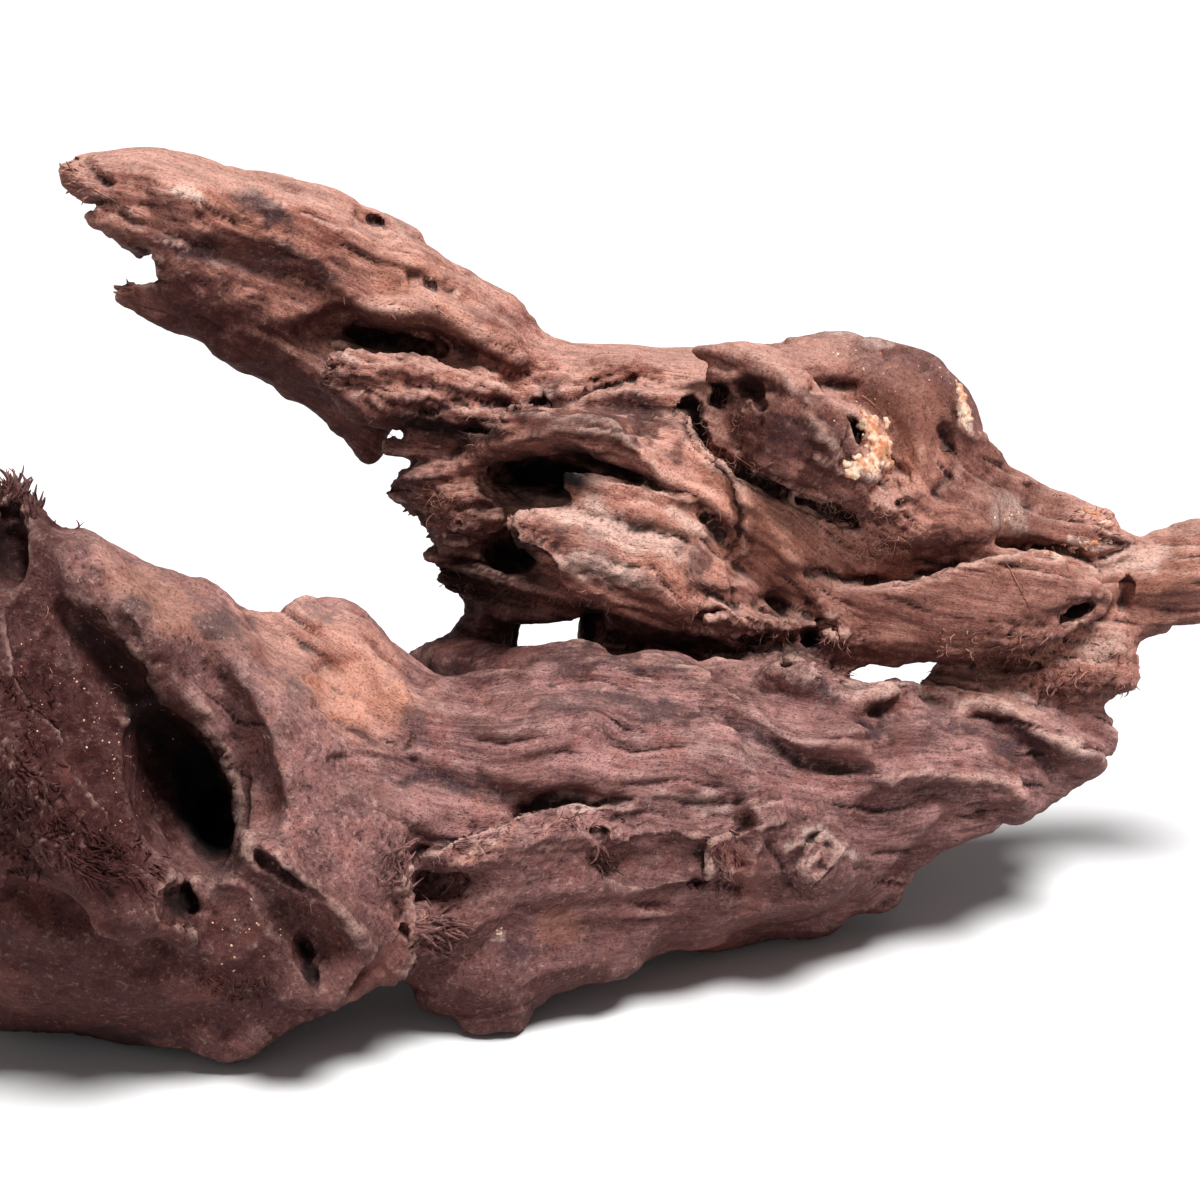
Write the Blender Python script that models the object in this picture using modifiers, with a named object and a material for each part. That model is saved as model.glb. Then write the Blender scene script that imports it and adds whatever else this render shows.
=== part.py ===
"""A gnarled piece of ironwood: a thick trunk lies along the front, and the hollow limb that grew out of it
stands behind on two short roots. It grew as one piece, so it is one closed body.

The wood is shaped the way a carver would: lengths of limb are fused, hollows are cut out of them,
ridges and swellings are raised on the skin, and the feet are cut flat where they stand.
"""

import math

import bmesh
import bpy
import numpy as np
from mathutils import Matrix, Vector, noise

MM = 0.001

# The viewer stands in front, a little above, and sees the wood in perspective.
VIEW_TILT = math.radians(18)
VIEW_DISTANCE = 833.0
VIEW_HEIGHT = 136.0

# Fineness, in millimetres, and the number of triangles that the finished body keeps.
FUSE_SIZE = 2.6
CARVE_SIZE = 2.2
TRIANGLES = 11400

# How much deeper the strokes are cut than listed, so that smoothing and thinning leave them standing.
STROKE_DEPTH = 1.9

# Where the feet are cut, in the same millimetres as the limbs.
FLOOR_HEIGHT = 1.5

IRONWOOD = (0.27, 0.13, 0.10, 1)

SIDES = 22
RINGS_BETWEEN = 4

# Every limb is a list of stations: across, up, away, half height and half depth, in millimetres.
# Across and up are measured in the plane that faces the viewer, through the middle of the wood;
# away is the distance towards the back.
TRUNK = [
    (-240, -52, -38, 62, 46),
    (-232, -52, -39, 78, 55),
    (-202, -54, -42, 85, 60),
    (-167, -64, -46, 74, 63),
    (-133, -74, -46, 68, 60),
    (-100, -79, -38, 59, 52),
    (-67, -73, -28, 50, 46),
    (-33, -70, -18, 48, 45),
    (0, -70, -6, 54, 45),
    (33, -67, 4, 50, 42),
    (67, -64, 14, 45, 38),
    (100, -61, 24, 31, 32),
    (133, -56, 34, 21, 25),
    (153, -55, 42, 12, 17),
    (168, -52, 48, 5, 8),
]
HUMP = [
    (-124, -16, -24, 10, 14),
    (-112, -14, -18, 11, 15),
    (-98, -14, -14, 11, 17),
    (-86, -14, -10, 12, 18),
    (-72, -27, -8, 13, 18),
    (-56, -39, -6, 12, 17),
]
TORN_TOP = [
    (-220, 16, -40, 6, 12),
    (-206, 26, -44, 8, 14),
    (-192, 24, -46, 8, 12),
    (-176, 12, -46, 6, 10),
]
LEFT_BASE = [
    (-200, -120, -44, 20, 26),
    (-150, -126, -52, 21, 26),
    (-124, -132, -62, 22, 23),
    (-100, -120, -58, 18, 22),
    (-78, -108, -50, 16, 20),
]
FRONT_FOOT = [
    (-72, -106, -26, 12, 16),
    (-54, -114, -32, 15, 20),
    (-36, -120, -40, 18, 22),
    (-16, -116, -36, 17, 20),
    (8, -106, -24, 14, 18),
]
FOOT_TIP = [
    (-34, -110, -36, 20, 18),
    (-35, -126, -42, 16, 15),
    (-36, -138, -45, 12, 12),
    (-35, -147, -47, 8, 9),
]
RIGHT_FOOT = [
    (22, -98, 8, 16, 16),
    (45, -103, 16, 12, 14),
    (68, -102, 24, 11, 13),
    (84, -94, 34, 9, 12),
    (97, -90, 42, 7, 10),
    (104, -84, 44, 3, 5),
]
FLANGE = [
    (78, -34, 30, 10, 12),
    (94, -38, 38, 10, 11),
    (110, -42, 44, 12, 9),
    (137, -42, 54, 15, 7),
    (155, -44, 58, 14, 6),
    (167, -50, 60, 9, 5),
    (173, -52, 60, 3, 3),
]
LEDGE = [
    (-4, -28, 6, 14, 16),
    (-26, -26, 24, 11, 15),
    (-42, -20, 46, 8, 13),
    (-56, -19, 60, 6, 10),
    (-64, -20, 68, 3, 5),
]
ARM = [
    (-176, 145, 50, 5, 6),
    (-168, 141, 51, 12, 11),
    (-150, 128, 54, 24, 17),
    (-125, 114, 60, 31, 20),
    (-97, 104, 66, 34, 22),
    (-67, 91, 74, 33, 24),
    (-40, 78, 80, 23, 24),
    (-15, 72, 84, 15, 20),
    (20, 71, 84, 14, 18),
    (60, 68, 80, 20, 24),
]
ARM_SPUR = [
    (-161, 103, 52, 3, 5),
    (-150, 99, 54, 7, 8),
    (-130, 95, 58, 11, 11),
    (-106, 90, 62, 12, 12),
]
ARM_TAIL = [
    (-118, 98, 62, 18, 12),
    (-98, 82, 64, 20, 12),
    (-84, 64, 64, 14, 10),
    (-75, 50, 64, 6, 6),
    (-73, 45, 64, 2, 3),
]
CHUNK = [
    (-92, 68, 50, 5, 6),
    (-84, 70, 48, 12, 9),
    (-62, 68, 48, 12, 10),
    (-42, 62, 50, 9, 9),
    (-30, 58, 54, 5, 6),
]
CROWN = [
    (-70, 36, 62, 3, 6),
    (-60, 35, 60, 11, 16),
    (-38, 32, 56, 25, 24),
    (-7, 32, 54, 39, 30),
    (27, 32, 54, 41, 32),
    (60, 28, 60, 40, 32),
    (83, 20, 66, 32, 26),
    (98, 16, 70, 16, 16),
]
UPPER_LIP = [
    (-42, 47, 44, 4, 8),
    (-28, 55, 36, 7, 10),
    (-10, 57, 30, 7, 10),
    (8, 51, 26, 6, 8),
    (18, 42, 24, 5, 6),
    (25, 36, 24, 2, 3),
]
UPPER_PRONG = [
    (-12, 39, 22, 3, 4),
    (-4, 38, 22, 6, 6),
    (14, 33, 24, 8, 8),
    (34, 25, 28, 9, 9),
    (52, 16, 34, 8, 8),
]
LOWER_PRONG = [
    (-30, 27, 16, 4, 5),
    (-22, 25, 16, 7, 8),
    (-8, 19, 18, 11, 10),
    (14, 10, 21, 14, 12),
    (38, 2, 26, 13, 12),
    (60, -6, 34, 9, 9),
]
KNOB = [
    (41, 79, 58, 5, 8),
    (50, 72, 42, 11, 11),
    (62, 60, 30, 14, 13),
    (74, 46, 26, 15, 13),
    (86, 37, 30, 10, 10),
    (98, 31, 38, 5, 7),
]
DOME = [
    (50, 62, 74, 24, 24),
    (68, 58, 72, 33, 32),
    (92, 48, 72, 39, 36),
    (110, 38, 74, 34, 32),
    (130, 28, 74, 19, 22),
    (156, 23, 74, 12, 14),
    (178, 24, 70, 5, 7),
]
TONGUE = [
    (50, 2, 52, 14, 14),
    (83, -4, 48, 18, 20),
    (117, -4, 46, 18, 20),
    (143, -1, 48, 15, 17),
    (160, 1, 50, 10, 12),
    (169, 0, 54, 3, 5),
]
BRANCH = [
    (130, 4, 74, 12, 14),
    (165, 4, 74, 15, 15),
    (183, 5, 74, 17, 16),
    (200, 9, 74, 19, 16),
    (222, 15, 74, 17, 15),
    (238, 19, 72, 13, 12),
    (244, 21, 72, 8, 7),
]
STUB = [
    (110, -24, 56, 5, 7),
    (122, -24, 58, 9, 10),
    (137, -22, 60, 12, 12),
    (157, -20, 62, 15, 14),
    (173, -21, 62, 13, 12),
    (180, -21, 62, 7, 7),
]
LEFT_ROOT = [
    (-36, 26, 66, 17, 14),
    (-38, 4, 68, 13, 13),
    (-39, -12, 70, 13, 16),
    (-45, -30, 80, 21, 21),
    (-54, -52, 94, 27, 21),
    (-64, -70, 104, 23, 18),
    (-84, -76, 110, 17, 18),
    (-102, -80, 114, 10, 13),
    (-112, -81, 116, 4, 6),
]
RIGHT_ROOT = [
    (14, 24, 62, 18, 18),
    (9, 2, 70, 16, 15),
    (8, -18, 76, 18, 17),
    (14, -38, 86, 23, 19),
    (26, -58, 96, 24, 19),
    (44, -71, 104, 20, 19),
    (64, -78, 108, 14, 16),
    (80, -81, 110, 7, 9),
]
MIDDLE_ROOT = [
    (6, -36, 84, 18, 15),
    (0, -54, 98, 20, 16),
    (-6, -68, 112, 18, 17),
    (-12, -75, 124, 13, 15),
    (-18, -77, 134, 7, 8),
]
ROOT_WEB = [
    (-48, -46, 84, 22, 12),
    (-28, -46, 86, 22, 9),
    (-6, -48, 88, 24, 9),
    (14, -48, 90, 22, 12),
]
SKIRT = [
    (14, -4, 60, 8, 12),
    (36, -10, 50, 11, 14),
    (58, -14, 44, 12, 14),
    (76, -12, 42, 9, 12),
    (88, -8, 44, 5, 8),
]
WEB = [
    (0, -60, 30, 26, 16),
    (8, -56, 56, 20, 14),
    (12, -52, 80, 20, 12),
]
LIMBS = {
    "trunk": TRUNK,
    "hump": HUMP,
    "torn_top": TORN_TOP,
    "left_base": LEFT_BASE,
    "front_foot": FRONT_FOOT,
    "foot_tip": FOOT_TIP,
    "right_foot": RIGHT_FOOT,
    "flange": FLANGE,
    "ledge": LEDGE,
    "arm": ARM,
    "arm_spur": ARM_SPUR,
    "arm_tail": ARM_TAIL,
    "chunk": CHUNK,
    "crown": CROWN,
    "upper_lip": UPPER_LIP,
    "upper_prong": UPPER_PRONG,
    "lower_prong": LOWER_PRONG,
    "knob": KNOB,
    "dome": DOME,
    "tongue": TONGUE,
    "branch": BRANCH,
    "stub": STUB,
    "left_root": LEFT_ROOT,
    "right_root": RIGHT_ROOT,
    "middle_root": MIDDLE_ROOT,
    "root_web": ROOT_WEB,
    "skirt": SKIRT,
    "web": WEB,
}

# Splinters that stand out of the trunk's torn end: across, up, away, length and half thickness.
SPLINTERS = [
    (-228, 12, -34, 28, 13),
    (-226, -6, -66, 24, 11),
    (-228, -40, -80, 22, 12),
    (-228, -80, -74, 19, 13),
    (-228, -108, -52, 22, 13),
    (-230, -84, -12, 22, 12),
    (-230, -44, -2, 27, 12),
    (-228, -8, -6, 20, 11),
    (-234, -36, -44, 20, 9),
    (-234, -74, -40, 16, 8),
]

# Swellings: across, up, away, half sizes across, up and deep, and the turn in degrees.
SWELLINGS = [
    (47, -66, -24, 13, 16, 10, 10),
    (69, -86, -18, 18, 17, 12, -20),
    (64, -28, 6, 14, 9, 16, 0),
    (77, -8, 34, 6, 10, 10, 10),
    (44, -6, 32, 9, 8, 10, 0),
    (103, 24, 44, 7, 5, 12, -20),
    (122, 26, 46, 11, 11, 9, 0),
    (60, 45, 26, 13, 14, 12, 20),
    (-148, -94, -94, 24, 10, 18, 20),
    (-97, -100, -78, 24, 26, 16, 20),
    (88, -92, 26, 9, 10, 10, -30),
    # Knots and swellings on the far side.
    (-150, -40, 4, 26, 20, 22, 30),
    (-60, -60, 12, 24, 16, 18, -10),
    (30, -70, 40, 20, 14, 14, 10),
    (-110, 108, 78, 18, 10, 12, -30),
    (30, 44, 84, 26, 12, 16, -20),
    (96, 34, 102, 20, 14, 14, 30),
    (-20, 30, 80, 14, 16, 14, 0),
    (-16, -1, 58, 15, 9, 14, 0),
]

# Hollows: across, up, away, half sizes across, up and deep, the turn in the viewer's plane and
# the lean towards the right as it goes in, in degrees.
HOLLOWS = [
    # The deep pit in the thick end, and the wide scoop beside it.
    (-144, -52, -104, 18, 46, 46, 27, 25),
    (-140, -68, -96, 13, 26, 44, 14, 20),
    (-166, -32, -118, 25, 60, 28, 32, 0),
    # Pockets below the pit.
    (-138, -103, -110, 6, 8, 20, 0, 0),
    (-120, -108, -114, 16, 9, 18, -25, 0),
    (-100, -116, -104, 4, 11, 12, 20, 0),
    # The set-back face to the right of the torn edge.
    (-46, -100, -78, 20, 20, 18, 0, 0),
    (20, -86, -50, 26, 10, 8, 0, 0),
    # The mouth between the lip and the prongs, and the shelves beside it.
    (-6, 42, 24, 27, 8, 30, -12, 0),
    (-26, 40, 30, 18, 12, 28, 0, 0),
    (-30, 15, 26, 24, 9, 22, -6, 0),
    (-22, 2, 30, 18, 5, 16, -14, 0),
    # The hollow under the arm's lip.
    (-64, 86, 46, 38, 7, 22, -13, 0),
    (-90, 84, 44, 18, 9, 16, -30, 0),
    # The knob's holes, and the rotten pocket behind it.
    (41, 69, 36, 5, 6, 18, 0, 0),
    (52, 71, 30, 6, 5, 14, -35, 0),
    (85, 54, 34, 6, 10, 12, 20, 0),
    (78, 72, 38, 10, 3, 10, 8, 0),
    # The right root's open side and its hole.
    (-2, -8, 62, 4, 11, 16, 0, 0),
    (24, -14, 54, 4, 4, 18, 0, 0),
    # The arm's broken end, and the hole by its tail.
    (-162, 113, 54, 17, 6, 40, -24, 0),
    (-173, 131, 50, 8, 3, 40, -15, 0),
    (-67, 54, 66, 3, 4, 40, 0, 0),
    # The torn end of the trunk.
    (-252, -16, -38, 15, 12, 26, 10, 0),
    (-252, -60, -18, 14, 20, 14, -30, 0),
    (-252, -54, -62, 13, 20, 12, 10, 0),
    (-250, -94, -38, 14, 11, 22, 20, 0),
    # Hollows on the far side.
    (-96, -30, 22, 34, 10, 14, -20, 0),
    (-176, -80, 24, 26, 14, 16, 15, 0),
    (-20, -86, 36, 24, 9, 14, 10, 0),
    (60, -50, 56, 26, 6, 12, 5, 0),
    (-80, 106, 98, 30, 8, 12, -28, 0),
    (6, 42, 100, 20, 9, 16, -10, 0),
    (70, 66, 110, 26, 8, 16, 20, 0),
    (110, 20, 104, 18, 8, 14, -10, 0),
    (-14, -40, 104, 8, 10, 30, 15, 0),
]

# The crease between the knob and the crown, as stations like a limb's.
CREASE = [
    (28, 70, 26, 3, 8),
    (38, 56, 22, 5, 12),
    (52, 38, 20, 6, 14),
    (68, 30, 20, 5, 14),
    (84, 24, 22, 6, 14),
    (100, 18, 28, 4, 10),
]

# Strokes on the side that faces the viewer: how wide, how high (below nothing is a groove), and the
# points across and up. A step is high on the left of its way and falls off at once on the right.
STROKES = [
    # The rim that falls from the trunk's top to the pit, and the edge that goes on below it.
    (14, 5, [(-196, 24), (-175, 10), (-157, -6), (-140, -26), (-128, -46), (-121, -66), (-119, -84)]),
    (7, 4, [(-119, -80), (-104, -90), (-90, -102), (-78, -112)]),
    (9, -5, [(-126, -88), (-112, -98), (-98, -112), (-92, -126)]),
    (10, 5, [(-110, -128), (-88, -126), (-70, -118), (-66, -102)]),
    # The ropy broken wood at the far left.
    (14, 6, [(-200, -40), (-190, -60), (-178, -84), (-160, -104), (-146, -112)]),
    (8, -5, [(-200, -96), (-180, -104), (-160, -116), (-140, -122)]),
    # The trunk's middle: the shoulder, the long dark grooves and the pale swell between them.
    (10, -4, [(-66, -24), (-54, -34), (-44, -38), (-34, -30)]),
    (9, 4, [(-104, -8), (-84, -20), (-66, -36), (-40, -46), (-10, -50)]),
    (8, -3, [(-20, -24), (14, -26), (40, -36), (60, -48), (76, -60)]),
    (14, 3, [(-30, -42), (4, -38), (30, -44), (50, -56)]),
    (8, -3, [(-90, -56), (-60, -60), (-30, -66), (0, -72)]),
    # The knob's crown of ridges at the trunk's thin end, and the furrows between them.
    (8, 5, [(82, -32), (100, -28), (120, -31), (138, -37), (154, -49), (167, -58)]),
    (8, -5, [(84, -44), (100, -39), (120, -42), (142, -50), (158, -60)]),
    (6, 3, [(89, -50), (102, -46), (116, -47), (130, -53)]),
    (7, -3, [(92, -58), (106, -54), (122, -56), (138, -62)]),
    (9, 5, [(52, -40), (66, -45), (82, -49), (93, -60), (108, -58), (124, -58), (136, -64), (142, -68)]),
    (6, -4, [(90, -99), (101, -90), (112, -81), (124, -74), (138, -73)]),
    (8, -4, [(34, -14), (50, -26), (64, -38), (76, -42)]),
    # The arm: its lip, the grooves on its lit side, and the line of its lower half.
    (6, 4, [(-78, 98), (-66, 97), (-53, 96), (-40, 88), (-30, 82), (-23, 75)]),
    (5, -4, [(-68, 106), (-58, 104), (-47, 102)]),
    (5, -4, [(-82, 128), (-76, 124), (-70, 122)]),
    (10, 4, [(-160, 140), (-130, 132), (-100, 124), (-70, 112), (-45, 100)]),
    (7, -3, [(-140, 120), (-115, 112), (-95, 104), (-80, 94)]),
    (5, -3, [(-155, 140), (-150, 132), (-140, 124)]),
    # The crown: its layered top and the crease above the prongs.
    (5, 3, [(-33, 56), (-20, 66), (0, 76), (14, 79)]),
    (5, -4, [(-18, 62), (0, 66), (16, 66), (30, 64)]),
    (6, 3, [(20, 60), (40, 44), (56, 26), (70, 8)]),
    (4, -4, [(33, -3), (44, 1), (58, 0), (68, -2)]),
    (6, -4, [(44, 24), (52, 8), (62, -4)]),
    # The dome and the crack on the tongue.
    (8, -6, [(76, 72), (88, 66), (98, 56), (100, 44), (94, 34)]),
    (5, 3, [(86, 82), (104, 78), (118, 66), (124, 54)]),
    (6, -3, [(112, 58), (114, 46), (112, 36)]),
    (4, -4, [(66, 10), (84, 6), (100, 9), (117, 14), (133, 17), (150, 16), (163, 11)]),
    (6, 3, [(70, 4), (90, 0), (117, 6), (140, 10), (158, 6)]),
    (5, -5, [(140, -12), (156, -6), (168, -4)]),
]
STEPS = [
    # The torn lip along the trunk, over the set-back face.
    (12, 5, [(44, -77), (34, -76), (16, -77), (2, -74), (-12, -71), (-30, -77), (-48, -80), (-60, -87)]),
    (9, 4, [(-66, -100), (-64, -88), (-68, -78)]),
    (8, 4, [(20, 39), (34, 30), (42, 22), (44, 12)]),
    (9, 4, [(147, 38), (135, 50), (128, 58)]),
]


def in_space(across, up, away):
    """The point seen at across and up, at that distance towards the back, in millimetres."""
    above = 0.0
    for _ in range(12):
        depth = VIEW_DISTANCE + away * math.cos(VIEW_TILT) - above * math.sin(VIEW_TILT)
        above = (up * depth / VIEW_DISTANCE - away * math.sin(VIEW_TILT)) / math.cos(VIEW_TILT)
    return Vector((across * depth / VIEW_DISTANCE, away, VIEW_HEIGHT + above))


def smooth_through(values, t):
    """Catmull-Rom value at t, where whole numbers are the listed values."""
    count = len(values)
    i = min(int(t), count - 2)
    f = t - i
    p = [np.array(values[max(0, min(count - 1, i + k))], float) for k in (-1, 0, 1, 2)]
    return 0.5 * (
        2 * p[1]
        + (p[2] - p[0]) * f
        + (2 * p[0] - 5 * p[1] + 4 * p[2] - p[3]) * f * f
        + (3 * p[1] - p[0] - 3 * p[2] + p[3]) * f * f * f
    )


def add_limb(name, stations, sides=SIDES):
    """A closed length of wood through its stations, in millimetres."""
    listed = [(*in_space(*s[:3]), *s[3:5]) for s in stations]
    steps = (len(listed) - 1) * RINGS_BETWEEN
    rows = [smooth_through(listed, k / RINGS_BETWEEN) for k in range(steps + 1)]
    bm = bmesh.new()
    rings = []
    for k, row in enumerate(rows):
        ahead = rows[min(k + 1, steps)][:3]
        behind = rows[max(k - 1, 0)][:3]
        along = Vector(ahead - behind).normalized()
        rough_up = Vector((0, 0, 1)) if abs(along.z) < 0.8 else Vector((1, 0, 0))
        deep = along.cross(rough_up).normalized()
        rise = deep.cross(along).normalized()
        ring = []
        for j in range(sides):
            turn = math.tau * j / sides
            offset = rise * (math.sin(turn) * row[3]) + deep * (math.cos(turn) * row[4])
            ring.append(bm.verts.new(Vector(row[:3]) + offset))
        rings.append(ring)
    for near, far in zip(rings, rings[1:]):
        for j in range(sides):
            bm.faces.new((near[j], near[(j + 1) % sides], far[(j + 1) % sides], far[j]))
    bm.faces.new(list(reversed(rings[0])))
    bm.faces.new(rings[-1])
    bmesh.ops.recalc_face_normals(bm, faces=bm.faces)
    mesh = bpy.data.meshes.new(name)
    bm.to_mesh(mesh)
    bm.free()
    obj = bpy.data.objects.new(name, mesh)
    bpy.context.scene.collection.objects.link(obj)
    return obj


def add_splinter(across, up, away, length, half):
    """A splinter that points to the left and ends in a blunt tip."""
    stations = [
        (across + length, up, away, half, half),
        (across, up, away, half, half * 0.9),
        (across - length * 0.55, up + half * 0.15, away, half * 0.6, half * 0.5),
        (across - length, up + half * 0.3, away, half * 0.2, half * 0.25),
    ]
    return add_limb("splinter", stations)


def add_ball(name, across, up, away, half_across, half_up, half_deep, turn, lean=0):
    """A ball stretched to its half sizes, turned in the viewer's plane and leaned sideways."""
    place = Matrix.Translation(in_space(across, up, away))
    tilted = Matrix.Rotation(-VIEW_TILT, 4, "X")
    turned = Matrix.Rotation(math.radians(-turn), 4, "Y") @ Matrix.Rotation(math.radians(-lean), 4, "Z")
    sized = Matrix.Diagonal((half_across, half_deep, half_up, 1))
    bm = bmesh.new()
    bmesh.ops.create_icosphere(bm, subdivisions=4, radius=1, matrix=place @ tilted @ turned @ sized)
    mesh = bpy.data.meshes.new(name)
    bm.to_mesh(mesh)
    bm.free()
    obj = bpy.data.objects.new(name, mesh)
    bpy.context.scene.collection.objects.link(obj)
    return obj


def joined(name, objects):
    """The objects' meshes in one object; the shapes still overlap."""
    bm = bmesh.new()
    for obj in objects:
        bm.from_mesh(obj.data)
        bpy.data.objects.remove(obj)
    mesh = bpy.data.meshes.new(name)
    bm.to_mesh(mesh)
    bm.free()
    made = bpy.data.objects.new(name, mesh)
    bpy.context.scene.collection.objects.link(made)
    return made


def remeshed(obj, size):
    """Fuses what overlaps and gives the skin even faces of that size."""
    modifier = obj.modifiers.new("fuse", "REMESH")
    modifier.mode = "VOXEL"
    modifier.voxel_size = size
    apply_modifiers(obj)


def thinned(obj, triangles):
    """Keeps about that many triangles."""
    obj.data.calc_loop_triangles()
    modifier = obj.modifiers.new("thin", "DECIMATE")
    modifier.ratio = triangles / len(obj.data.loop_triangles)
    modifier.use_collapse_triangulate = True
    apply_modifiers(obj)


def smoothed(obj, factor, times):
    modifier = obj.modifiers.new("smooth", "SMOOTH")
    modifier.factor = factor
    modifier.iterations = times
    apply_modifiers(obj)


def apply_modifiers(obj):
    graph = bpy.context.evaluated_depsgraph_get()
    mesh = bpy.data.meshes.new_from_object(obj.evaluated_get(graph))
    obj.modifiers.clear()
    obj.data = mesh


def seen(points):
    """Across and up of points in space, the way back from in_space, and the way to the viewer."""
    x, y, z = points[:, 0], points[:, 1], points[:, 2] - VIEW_HEIGHT
    depth = VIEW_DISTANCE + y * math.cos(VIEW_TILT) - z * math.sin(VIEW_TILT)
    scale = VIEW_DISTANCE / depth
    across = x * scale
    up = (y * math.sin(VIEW_TILT) + z * math.cos(VIEW_TILT)) * scale
    eye = np.array([0, -math.cos(VIEW_TILT), math.sin(VIEW_TILT)]) * VIEW_DISTANCE
    eye[2] += VIEW_HEIGHT
    to_eye = eye - points
    return np.column_stack([across, up]), to_eye / np.linalg.norm(to_eye, axis=1, keepdims=True)


def skin_of(mesh):
    """The mesh's points and their normals."""
    points = np.empty(len(mesh.vertices) * 3)
    normals = np.empty(len(mesh.vertices) * 3)
    mesh.vertices.foreach_get("co", points)
    mesh.vertices.foreach_get("normal", normals)
    return points.reshape(-1, 3), normals.reshape(-1, 3)


def along_path(flat, path):
    """How far each point lies from the path, on which side, and how far along it, from 0 to 1."""
    t = np.linspace(0, len(path) - 1, (len(path) - 1) * 5 + 1)
    line = np.array([smooth_through(path, k) for k in t])
    best = np.full(len(flat), 1e9)
    side = np.zeros(len(flat))
    where = np.zeros(len(flat))
    for k, (start, end) in enumerate(zip(line, line[1:])):
        way = end - start
        long = way @ way
        f = np.clip(((flat - start) @ way) / long, 0, 1)
        off = flat - start - f[:, None] * way
        dist = np.hypot(off[:, 0], off[:, 1])
        nearer = dist < best
        best[nearer] = dist[nearer]
        cross = way[0] * off[:, 1] - way[1] * off[:, 0]
        side[nearer] = np.sign(cross[nearer])
        where[nearer] = (k + f[nearer]) / (len(line) - 1)
    return best, side, where


def draw_strokes(wood):
    """Raises the ridges, presses in the grooves and sets the steps on the front skin."""
    for listed, is_step in ((STROKES, False), (STEPS, True)):
        for width, height, path in listed:
            points, normals = skin_of(wood.data)
            flat, to_eye = seen(points)
            facing = np.clip((normals * to_eye).sum(axis=1) * 2.5, 0, 1)
            low, high = np.min(path, axis=0) - width, np.max(path, axis=0) + width
            near = np.all((flat > low) & (flat < high), axis=1) & (facing > 0)
            dist, side, where = along_path(flat[near], path)
            fade = np.clip(1 - dist / width, 0, 1)
            ends = np.clip(np.minimum(where, 1 - where) * 7 + 0.15, 0, 1)
            shape = fade * fade * (3 - 2 * fade)
            if is_step:
                shape = fade * side * np.clip(dist / 2.5, 0, 1)
            points[near] += normals[near] * (STROKE_DEPTH * height * shape * ends * facing[near])[:, None]
            wood.data.vertices.foreach_set("co", points.ravel())
            wood.data.update()


def grain_of(points):
    """Where each point lies in the wood's own grain: along its limb, and the two ways across it."""
    nearest = np.full(len(points), 1e9)
    found = {}
    for number, (name, stations) in enumerate(LIMBS.items()):
        listed = [(*in_space(*s[:3]), *s[3:5]) for s in stations]
        steps = (len(listed) - 1) * 2
        rows = np.array([smooth_through(listed, k / 2) for k in range(steps + 1)])
        run = np.r_[0, np.cumsum(np.linalg.norm(np.diff(rows[:, :3], axis=0), axis=1))]
        best = np.full(len(points), 1e9)
        place = np.zeros((len(points), 3))
        for k in range(steps):
            start, way = rows[k, :3], rows[k + 1, :3] - rows[k, :3]
            f = np.clip(((points - start) @ way) / (way @ way), 0, 1)
            off = points - start - f[:, None] * way
            thick = (rows[k, 3:5].mean() * (1 - f) + rows[k + 1, 3:5].mean() * f) + 4
            dist = np.linalg.norm(off, axis=1) / thick
            nearer = dist < best
            best[nearer] = dist[nearer]
            here = run[k] + f * (run[k + 1] - run[k]) + 311 * number
            place[nearer] = np.column_stack([here, off[:, 1], off[:, 2]])[nearer]
        found[name] = (best, place)
        nearest = np.minimum(nearest, best)
    return found, nearest


def raise_grain(wood):
    """Long flutes and furrows that follow each limb, and gnarls of no direction."""
    points, normals = skin_of(wood.data)
    found, nearest = grain_of(points)
    lift = np.zeros(len(points))
    weights = np.zeros(len(points))
    for best, place in found.values():
        weight = np.clip(1 - (best - nearest) / 0.3, 0, 1)
        for i in np.flatnonzero(weight > 0):
            s, v, w = place[i]
            flute = noise.noise(Vector((s / 60, v / 13, w / 13)))
            furrow = noise.noise(Vector((s / 30, v / 6 + 40, w / 6)))
            lift[i] += weight[i] * (2.6 * flute + 1.1 * furrow)
            weights[i] += weight[i]
    lift /= np.maximum(weights, 1e-6)
    gnarl = np.array([noise.fractal(Vector(p) / 34, 0.7, 2.1, 3) for p in points])
    points += normals * (lift + 2.4 * gnarl)[:, None]
    wood.data.vertices.foreach_set("co", points.ravel())
    wood.data.update()


def roughened(obj, depth, size):
    """Takes the evenness off a shape's skin."""
    points, normals = skin_of(obj.data)
    for i, p in enumerate(points):
        points[i] += normals[i] * depth * noise.fractal(Vector(p) / size, 0.8, 2.2, 3)
    obj.data.vertices.foreach_set("co", points.ravel())
    obj.data.update()


def carved(wood, cutter):
    modifier = wood.modifiers.new("carve", "BOOLEAN")
    modifier.operation = "DIFFERENCE"
    modifier.object = cutter
    apply_modifiers(wood)
    bpy.data.objects.remove(cutter)


def only_the_largest(obj):
    """Drops crumbs that have come loose from the body."""
    bm = bmesh.new()
    bm.from_mesh(obj.data)
    waiting = set(bm.verts)
    pieces = []
    while waiting:
        piece = {waiting.pop()}
        edge = list(piece)
        while edge:
            edge = [e.other_vert(v) for v in edge for e in v.link_edges]
            edge = [v for v in dict.fromkeys(edge) if v not in piece]
            piece.update(edge)
        waiting -= piece
        pieces.append(piece)
    pieces.sort(key=len)
    for piece in pieces[:-1]:
        bmesh.ops.delete(bm, geom=list(piece), context="VERTS")
    bm.to_mesh(obj.data)
    bm.free()


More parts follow.
